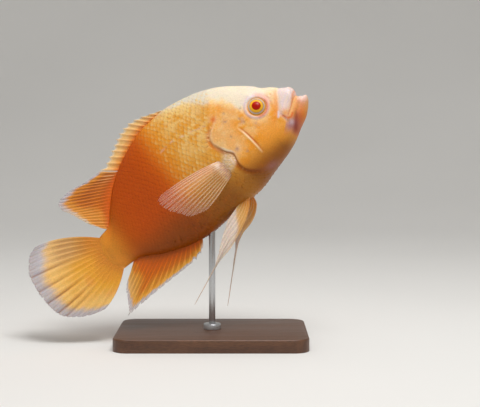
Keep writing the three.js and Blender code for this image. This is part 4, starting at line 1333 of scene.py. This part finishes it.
# The spiny part of the back fin: stiff spines, each with a free tip and a small flap behind it.
spine_step = (DORSAL["spiny"] - DORSAL["start"] - 1.8) / (DORSAL["spines"] - 1)


def spine_place(u):
    return (u - DORSAL["start"] - 0.9) / spine_step


def spine_margin(u, rays):
    part = rays - np.floor(rays)
    tip = on_ray(rays, 0.09)
    return 1 - 0.07 * part - 0.06 * np.sin(np.pi * part) + 0.08 * tip


def spine_thickness(u, v, rays):
    ridge = on_ray(rays, 0.15)
    return MEMBRANE * (1 - 0.3 * v) + ridge * (RAY_ROOT + (0.5 - RAY_ROOT) * v)


def spiny_tint(u, v, rays):
    ridge = on_ray(rays, 0.16)
    base = coat(PIGMENT["amber"], u)
    patch = blotches(u, 30 * v, 0, 5, 11)
    return painted(
        base,
        ("deep", 0.8 * ramp(v, 0.45, 0.05)), ("straw", 0.8 * ramp(v + 0.2 * patch, 0.35, 0.8)),
        ("sand", 0.6 * ridge * ramp(v, 0.2, 0.6)), ("cream", 0.85 * ramp(v, 0.8, 0.97)),
    )


fin = fin_piece(
    "spiny_back_fin", np.linspace(DORSAL["start"], DORSAL["spiny"], 13 * DORSAL["spines"]), 26,
    dorsal_sheet, spine_place, spine_margin, spine_thickness, pleats(0.5, 31), spiny_tint,
    lambda u, v, rays: 0.72 + 0.3 * on_ray(rays, 0.2) + 0.3 * ramp(v, 0.3, 0.05),
)
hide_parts("dorsal_fin_spiny")


# The soft part of the back fin: forked rays that run out to a rounded point behind.
def even_place(low, high, count):
    """Ray numbers at places along a root, for count rays evenly spread over it."""
    return lambda u: (u - low) / (high - low) * (count - 1)


def soft_tint(u, v, rays):
    ridge = ray_ridges(rays, v, DORSAL["fork"])
    base = coat(PIGMENT["orange"], u)
    front = ramp(u, 186, 174)
    rear = ramp(u, 190, 206)
    patch = blotches(u * 2, 60 * v, 0, 9, 12)
    edge = blotches(rays * 1.3, 3 * v, 0, 1, 17)
    return painted(
        base,
        ("deep", 0.8 * ramp(v, 0.35, 0.1)),
        ("brown", 0.5 * (1 - 0.45 * ridge) * ramp(v, 0.05, 0.25) * (1 - 0.6 * rear)),
        ("amber", 0.25 * ridge * ramp(v, 0.1, 0.3)),
        # Sand on the front rays: partly their own pale colour, partly painted highlight on the ridges.
        ("sand", 0.7 * front * ridge * ramp(v, 0.12, 0.25) * ramp(v, 0.7, 0.45)),
        ("gold", 0.8 * ramp(v + 0.45 * rear + 0.12 * patch, 0.62, 0.95)),
        ("brown", 0.25 * (1 - ridge) * ramp(v, 0.3, 0.5) * (1 - 0.5 * rear)),
        ("mist", 0.95 * ramp(v + 0.1 * edge, 0.87, 0.99)),
        ("straw", 0.5 * rear * ramp(v, 0.7, 0.95)),
        ("sand", 0.6 * bump(u - DORSAL["soft"], 0.8) * ramp(v, 0.2, 0.7)),
    )


fin = fin_piece(
    "soft_back_fin", np.linspace(DORSAL["soft"], DORSAL["end"], 15 * DORSAL["rays"]), 60,
    dorsal_sheet, even_place(DORSAL["soft"] + 0.55, DORSAL["end"] - 0.55, DORSAL["rays"]),
    frayed(DORSAL["fork"], 0.02, 0.03, 32), ray_thickness(DORSAL["fork"], ray_root=0.95),
    pleats(0.5, 33), soft_tint,
    lambda u, v, rays: 0.88 + 0.2 * ray_ridges(rays, v, DORSAL["fork"]) - 0.2 * ramp(v, 0.8, 1),
)
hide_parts("dorsal_fin_soft")


# The fin under the tail: three short spines in front, then forked rays out to a long rear corner.
ANAL = {"start": 150.4, "end": 212, "root": 3.2, "spines": 3, "rays": 15, "fork": 0.4}
ANAL_PLACES = [(150.4, -0.2), (151.2, 0), (154.8, 1), (158.8, 2), (162.4, 3), (211.2, 17), (212, 17.25)]
anal_tip = path([
    (150.4, 156.6, -48.3), (154.8, 161.4, -51.4), (159, 168.8, -53.5), (165, 181.7, -53.6),
    (172, 198.5, -53.5), (181, 221, -53.8), (190, 246.3, -53.9), (196, 243.2, -47.7),
    (201, 239.6, -40.9), (206, 235, -32.9), (ANAL["end"], 222.7, -24.2),
])


def anal_sheet(u, v):
    s, h = ray_point((u, belly(u) + ANAL["root"]), anal_tip(u), 0, v)
    return s, h, -1.4 * np.sin((u - ANAL["start"]) / 14) * v * v


def anal_place(u):
    return np.interp(u, *np.array(ANAL_PLACES, float).T)


anal_frays = frayed(ANAL["fork"], 0.02, 0.035, 34)


def anal_margin(u, rays):
    spiny = rays < 2.6
    part = rays - np.floor(rays)
    spines = 1 - 0.08 * part - 0.07 * np.sin(np.pi * part) + 0.08 * on_ray(rays, 0.1)
    threads = 0.05 * bump(u - 189, 5) * ray_ridges(rays, 1.0, ANAL["fork"])
    return np.where(spiny, spines, anal_frays(u, rays) + threads)


def anal_tint(u, v, rays):
    ridge = ray_ridges(rays, v, ANAL["fork"])
    base = coat(PIGMENT["orange"], u)
    rear = ramp(u, 185, 205)
    patch = blotches(u * 2, 50 * v, 0, 8, 13)
    edge = blotches(rays * 1.3, 3 * v, 0, 1, 18)
    return painted(
        base,
        ("deep", 0.8 * ramp(v, 0.55, 0.2)), ("umber", 0.6 * ramp(v, 0.35, 0.05)),
        ("honey", 0.85 * ramp(v + 0.2 * patch + 0.2 * rear, 0.6, 0.95)),
        ("straw", 0.25 * ridge * ramp(v, 0.4, 0.8)), ("sand", 0.5 * rear * ramp(v, 0.4, 0.9)),
        ("brown", 0.3 * (1 - ridge) * ramp(v, 0.1, 0.4) * ramp(v, 0.9, 0.7)),
        ("mist", 0.95 * ramp(v + 0.08 * edge, 0.9, 0.99)),
        ("shell", 0.5 * ridge * ramp(v, 0.85, 1)),
        ("shell", 0.8 * ramp(u, 156, 151) * ramp(v, 0.5, 0.9)),
    )


fin = fin_piece(
    "anal_fin_sheet",
    np.linspace(ANAL["start"], ANAL["end"], 16 * (ANAL["spines"] + ANAL["rays"])), 56, anal_sheet,
    anal_place, anal_margin, ray_thickness(ANAL["fork"], ray_root=0.88), pleats(0.45, 35), anal_tint,
    lambda u, v, rays: 0.9 + 0.2 * ray_ridges(rays, v, ANAL["fork"]) - 0.2 * ramp(v, 0.8, 1),
)
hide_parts("anal_fin")


# The tail fin: a rounded fan of forked rays, its upper third folded a little away.
TAIL = {"root": 226, "half": 17.6, "rays": 16, "fork": 0.32}
tail_tip = path([
    (0, 279, 50.2), (0.08, 286, 47.4), (0.18, 293, 39.8), (0.3, 299.3, 28.3), (0.45, 301.8, 10),
    (0.6, 301.2, -5.4), (0.72, 297.8, -17.2), (0.82, 288, -26.8), (0.92, 275.2, -34.1), (1, 263, -37.4),
])
tail_bow = curve([(0, 10.4), (0.5, 0.5), (1, -7)])
TAIL_FOLDS = {4: 0.9, 6: 0.7, 8: 1.6, 10: 1.0, 11: 0.6}


def tail_sheet(u, v):
    root = (TAIL["root"] + 4 * np.sin(np.pi * u), TAIL["half"] * (1 - 2 * u))
    s, h = ray_point(root, tail_tip(u), tail_bow(u), v)
    return s, h, v * v * (9 * ramp(0.36 - u, 0, 0.36) + 1.8 * np.sin(9 * u))


tail_soft_pleats = pleats(0.35, 37)


def tail_pleats(u, v, rays):
    deep = sum(depth * bump(rays - gap - 0.5, 0.3) for gap, depth in TAIL_FOLDS.items())
    return tail_soft_pleats(u, v, rays) + deep * ramp(v, 0.3, 0.8)


def tail_tint(u, v, rays):
    ridge = ray_ridges(rays, v, TAIL["fork"])
    base = coat(0.75 * PIGMENT["gold"] + 0.25 * PIGMENT["orange"], u)
    upper = ramp(u, 0.42, 0.2)
    patch = blotches(u * 60, 60 * v, 0, 8, 14)
    edge = 0.5 * blotches(rays * 1.3, 4 * v, 0, 1, 19) + 0.5 * blotches(rays * 4, 14 * v, 0, 1, 20)
    folds = sum(min(depth, 1) * bump(rays - gap - 0.5, 0.14) for gap, depth in TAIL_FOLDS.items())
    return painted(
        base,
        ("umber", 0.3 * ramp(v, 0.35, 0.02)),
        ("honey", 0.85 * ramp(v + 0.15 * patch, 0.15, 0.5)),
        ("straw", 0.65 * ramp(v + 0.25 * patch, 0.45, 0.85)),
        ("orange", 0.3 * ramp(patch, 0.55, 0.8) * ramp(v, 0.2, 0.4) * ramp(v, 0.75, 0.5)),
        ("sand", 0.6 * upper * ramp(v, 0.15, 0.5)),
        # Brown on the upper third is painted shade where the fin turns away.
        ("brown", 0.42 * upper * (1 - 0.6 * ridge) * ramp(v, 0.08, 0.3) * ramp(v, 0.8, 0.5)),
        ("straw", 0.2 * ridge * ramp(v, 0.15, 0.5)),
        ("mist", 0.95 * ramp(v + 0.1 * edge + 0.07 * upper, 0.82, 0.98)),
        # Brown along the deep folds is painted shade in the creases.
        ("brown", 0.6 * folds * ramp(v, 0.4, 0.75)),
        ("smoke", 0.3 * (1 - ridge) * ramp(v, 0.86, 0.97)),
    )


fin = fin_piece(
    "tail_fin_fan", np.linspace(0, 1, 20 * TAIL["rays"]), 72, tail_sheet,
    even_place(0.015, 0.985, TAIL["rays"]), frayed(TAIL["fork"], 0.014, 0.02, 36),
    ray_thickness(TAIL["fork"], ray_root=0.95), tail_pleats, tail_tint,
    lambda u, v, rays: 0.95 + 0.1 * ray_ridges(rays, v, TAIL["fork"]) - 0.25 * ramp(v, 0.75, 0.95),
)
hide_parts("tail_fin")


# The breast fins: clear fans on a short fleshy stalk behind each gill cover.
PECTORAL = {
    "s": 86.9, "top": -0.9, "bottom": -17.6, "rays": 13, "root": 3, "flare": 17, "fork": 0.5,
    "length": 0.88,
}
pectoral_tip = path([
    (0, 162.5, 4.8), (0.2, 168.7, 0.7), (0.4, 165.4, -10.3), (0.6, 159, -19.2), (0.8, 150.6, -27.4),
    (1, 132.7, -31.7),
])
pectoral_bow = curve([(0, 5.5), (0.5, 1.5), (1, -5)])


def pectoral_sheet(side):
    height = PECTORAL["top"] - PECTORAL["bottom"]
    surface = float(flank(np.array(PECTORAL["s"]), np.array(PECTORAL["top"] - height / 2)))
    def at(u, v):
        root = (PECTORAL["s"] + 3.5 * (2 * u - 1) ** 2, PECTORAL["top"] - height * u)
        s, h = ray_point(root, pectoral_tip(u), pectoral_bow(u), v)
        cup = 2 * np.sin(np.pi * u) * v
        off = -PECTORAL["root"] + 8 * (1 - (1 - v) ** 6) + PECTORAL["flare"] * v + cup
        return s, h, side * (surface + off)
    return at


pectoral_frays = frayed(PECTORAL["fork"], 0.05, 0.12, 38)


def pectoral_margin(u, rays):
    """The fan's frayed free edge, short of the full length of its rays."""
    return PECTORAL["length"] * pectoral_frays(u, rays)


def pectoral_thickness(u, v, rays):
    """A thin membrane with soft rays, on a lumpy fleshy stalk that thins towards both edges."""
    lumps = 0.7 + 0.6 * blotches(u * 16, v * 70, 0, 1.5, 42)
    stalk = 2.4 * lumps * bump(v, 0.15) * np.maximum(np.sin(np.pi * u), 0) ** 0.7
    ridge = ray_ridges(rays, v, PECTORAL["fork"])
    return 0.34 + 0.3 * ridge * ramp(v, 0.05, 0.3) * (1 - 0.5 * v) + stalk


def pectoral_tint(u, v, rays):
    ridge = ray_ridges(rays, v, PECTORAL["fork"])
    patch = blotches(u * 20, 70 * v, 0, 2.2, 15)
    base = coat(PIGMENT["peach"], u)
    return painted(
        base,
        ("blush", 0.8 * ramp(u, 0.5, 0.1)), ("shell", 0.5 * ridge * ramp(v, 0.1, 0.4)),
        ("lilac", 0.35 * ramp(v, 0.6, 1)), ("sand", 0.8 * ramp(v, 0.24, 0.1)),
        ("pearl", 0.55 * ramp(v, 0.22, 0.1) * ramp(patch, 0.5, 0.65)),
        # Plum and smoke darken the lit fleshy root as painted shade, the plum in blotches; umber is
        # painted shade under its lower half.
        ("plum", 0.5 * ramp(v, 0.24, 0.1) * ramp(patch, 0.45, 0.28)),
        ("umber", 0.5 * ramp(u, 0.5, 1) * ramp(v, 0.3, 0.05)), ("smoke", 0.35 * ramp(v, 0.22, 0.08)),
    )


for word, side in SIDES.items():
    fin = fin_piece(
        f"breast_fin_{word}", np.linspace(0, 1, 22 * PECTORAL["rays"]), 64, pectoral_sheet(side),
        even_place(0.02, 0.98, PECTORAL["rays"]), pectoral_margin,
        pectoral_thickness, pleats(0.4, 39), pectoral_tint,
        lambda u, v, rays: 0.07 + 0.36 * ramp(u, 0.55, 0.1) * ramp(v, 0.95, 0.35)
        + 0.3 * ray_ridges(rays, v, PECTORAL["fork"]) * (0.3 + 0.7 * ramp(v, 1, 0.5))
        + 0.8 * ramp(v, 0.22, 0.08) * ramp(v, 0.03, 0.13),
    )
    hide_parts(f"pectoral_fin_{word}")


# The belly fins: narrow fans whose front ray is drawn out to a long thread.
PELVIC = {"front": 90.8, "back": 99.3, "h": -38, "w": 6, "rays": 6, "flare": 15, "fork": 0.35}
PELVIC_TIPS = {
    "right": [
        (0, 194.6, -87.3), (0.14, 176.4, -79.7), (0.3, 158.9, -71.9), (0.5, 148, -65),
        (0.75, 135.6, -55.2), (1, 121.6, -46),
    ],
    "left": [
        (0, 173.2, -103.2), (0.14, 159.8, -90.4), (0.3, 145.5, -76), (0.5, 136.5, -67),
        (0.75, 127.5, -55.5), (1, 117, -45),
    ],
}
PELVIC_BOWS = {
    "right": [
        (0, 0, 0), (0.1, -0.7, -6.3), (0.24, -2.1, -8), (0.45, -2.5, -6.6), (0.61, -0.4, -2.9),
        (0.82, 0, -1.1), (1, 0, 0),
    ],
    "left": [
        (0, 0, 0), (0.07, -2.3, -6.4), (0.13, -2.4, -6.9), (0.21, -2.1, -5.5), (0.27, -0.6, -3.5),
        (0.35, 2.1, -0.1), (0.48, 3.1, 1.9), (0.73, 1.8, 1.3), (1, 0, 0),
    ],
}


def pelvic_sheet(side, tip, bow):
    def at(u, v):
        root = (PELVIC["front"] + (PELVIC["back"] - PELVIC["front"]) * u, PELVIC["h"])
        s, h = ray_point(root, tip(u), 0, v)
        curl_s, curl_h = bow(v)
        off = PELVIC["w"] + PELVIC["flare"] * v * (1 - 0.35 * u) + 1.5 * np.sin(np.pi * u) * v
        return s + curl_s * (1 - u), h + curl_h * (1 - u), side * off
    return at


def pelvic_tint(u, v, rays):
    ridge = ray_ridges(rays, v, PELVIC["fork"])
    patch = blotches(u * 20, 80 * v, 0, 8, 16)
    base = coat(PIGMENT["gold"], u)
    return painted(
        base,
        ("orange", 0.4 * ramp(v, 0.12, 0.04)), ("straw", 0.5 * ramp(v, 0.1, 0.3)),
        ("shell", 0.9 * ramp(v + 0.15 * patch, 0.38, 0.62)),
        ("cream", 0.4 * ridge), ("blush", 0.45 * ramp(v, 0.72, 0.9) * ramp(u, 0.2, 0.05)),
    )


for word, side in SIDES.items():
    fin = fin_piece(
        f"belly_fin_{word}", np.linspace(0, 1, 18 * PELVIC["rays"]), 100,
        pelvic_sheet(side, path(PELVIC_TIPS[word]), path(PELVIC_BOWS[word])),
        even_place(0.04, 0.96, PELVIC["rays"]), frayed(PELVIC["fork"], 0.015, 0.03, 40),
        ray_thickness(PELVIC["fork"], 1.6, 0.1, 1.3, 0.5), pleats(0.5, 41), pelvic_tint,
        lambda u, v, rays: 0.72 + 0.25 * ray_ridges(rays, v, PELVIC["fork"]) + 0.4 * ramp(v, 0.3, 0.05),
    )
    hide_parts(f"pelvic_fin_{word}")


# The base of the stand: a solid walnut board with rounded corners and softened edges, oiled and
# buffed. It stands flat on the floor, and the rod stands on its top.
BASE = {"length": 0.176, "width": 0.112, "thickness": 0.012, "corner": 0.014, "edge": 0.0015}


def select_edges(piece, wanted):
    """Edit mode with only the edges selected that the test on their two ends wants."""
    bpy.ops.object.mode_set(mode="EDIT")
    bpy.ops.mesh.select_mode(type="EDGE")
    bpy.ops.object.mode_set(mode="OBJECT")
    points = piece.data.vertices
    for vertex in points:
        vertex.select = False
    for face in piece.data.polygons:
        face.select = False
    for edge in piece.data.edges:
        a, b = (points[i].co for i in edge.vertices)
        edge.select = wanted(a, b)
        for i in edge.vertices:
            points[i].select = points[i].select or edge.select
    bpy.ops.object.mode_set(mode="EDIT")


def finished(name):
    """The active object with its place in its mesh and its edges shaded, ready to be a piece."""
    made = bpy.context.active_object
    made.name = name
    bpy.ops.object.mode_set(mode="OBJECT")
    bpy.ops.object.transform_apply(location=True, rotation=True, scale=True)
    bpy.ops.object.shade_smooth_by_angle(angle=math.radians(35))
    made.select_set(False)
    return made


bpy.ops.mesh.primitive_cube_add(size=1, location=(0, 0, BASE["thickness"] / 2))
board = bpy.context.active_object
board.scale = (BASE["length"], BASE["width"], BASE["thickness"])
bpy.ops.object.transform_apply(location=True, rotation=True, scale=True)
select_edges(board, lambda a, b: abs(a.z - b.z) > BASE["thickness"] / 2)
bpy.ops.mesh.bevel(offset=BASE["corner"], segments=12, affect="EDGES")
select_edges(board, lambda a, b: abs(a.z - b.z) < 1e-6 and a.z > BASE["thickness"] / 2)
bpy.ops.mesh.bevel(offset=BASE["edge"], segments=4, affect="EDGES")
board = finished("stand_board")


def stretched(tree, place, scale):
    return add_node(tree, "ShaderNodeMapping", {"Vector": place, "Scale": scale}).outputs["Vector"]


# Oiled walnut: warm brown with darker growth lines that run the length of the board and waver a
# little, fine open pores, and a low silky sheen.
oiled_walnut, tree = new_material("oiled_walnut")
coordinates = object_place(tree)
along_grain = stretched(tree, coordinates, (5.0, 42.0, 42.0))
figure = noise(tree, along_grain, 1.6, 4.0, Distortion=1.2)
lines = add_node(tree, "ShaderNodeTexWave", {
    "Vector": along_grain, "Scale": 1.5, "Distortion": 7.0, "Detail": 3.0, "Detail Scale": 1.4,
}, wave_type="BANDS", bands_direction="Y")
pores = remapped(tree, noise(tree, stretched(tree, coordinates, (260.0, 2600.0, 2600.0)), 1.0, 2.0),
                 0.38, 0.55, 0.6, 1.0)
wood_tone = blended(tree, figure, colour("#4A2C1B"), colour("#7D5234"))
line_tone = blended(tree, lines.outputs["Fac"], wood_tone, colour("#5B3822"))
add_surface(tree, {
    "Base Color": blended(tree, 1.0, line_tone, pores, "MULTIPLY"),
    "Roughness": remapped(tree, figure, 0.3, 0.7, 0.36, 0.5),
    "Normal": bumped(tree, pores, 0.25, 0.0002), "Coat Weight": 0.2, "Coat Roughness": 0.3,
})
board.data.materials.append(oiled_walnut)
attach(board, "root")
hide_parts("stand_base")


# The rod and its collar: turned stainless steel, brushed round. The rod runs from the board up into
# the belly, and the collar rings its foot on the board.
COLLAR = {"radius": 0.008, "height": 0.005, "edge": 0.001}
ROD_INTO_BODY = 0.006
MEETING_GAP = 0.0003
rod_foot = BASE["thickness"] + MEETING_GAP
rod_head = ROD["top"] / 1000 + ROD_INTO_BODY
bpy.ops.mesh.primitive_cylinder_add(
    vertices=64, radius=ROD["radius"] / 1000, depth=rod_head - rod_foot,
    location=(0, 0, (rod_head + rod_foot) / 2),
)
select_edges(bpy.context.active_object, lambda a, b: abs(a.z - b.z) < 1e-6)
bpy.ops.mesh.bevel(offset=0.0003, segments=2, affect="EDGES")
rod = finished("stand_post")
bpy.ops.mesh.primitive_cylinder_add(
    vertices=72, radius=COLLAR["radius"], depth=COLLAR["height"],
    location=(0, 0, rod_foot + COLLAR["height"] / 2),
)
select_edges(bpy.context.active_object, lambda a, b: abs(a.z - b.z) < 1e-6 and a.z > 0)
bpy.ops.mesh.bevel(offset=COLLAR["edge"], segments=4, affect="EDGES")
collar = finished("stand_ring")

# Brushed stainless steel: fine scratches that run round the rod and smear its highlights.
brushed_steel, tree = new_material("brushed_stainless_steel")
scratches = noise(tree, stretched(tree, object_place(tree), (400.0, 400.0, 9000.0)), 1.0, 2.0)
add_surface(tree, {
    "Base Color": blended(tree, scratches, colour("#B9BBBE"), colour("#D2D3D5")), "Metallic": 1.0,
    "Roughness": remapped(tree, scratches, 0.3, 0.7, 0.24, 0.4),
    "Normal": bumped(tree, scratches, 0.1, 0.0001),
})
for piece, replaced in ((rod, "stand_rod"), (collar, "stand_collar")):
    piece.data.materials.append(brushed_steel)
    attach(piece, "root")
    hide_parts(replaced)
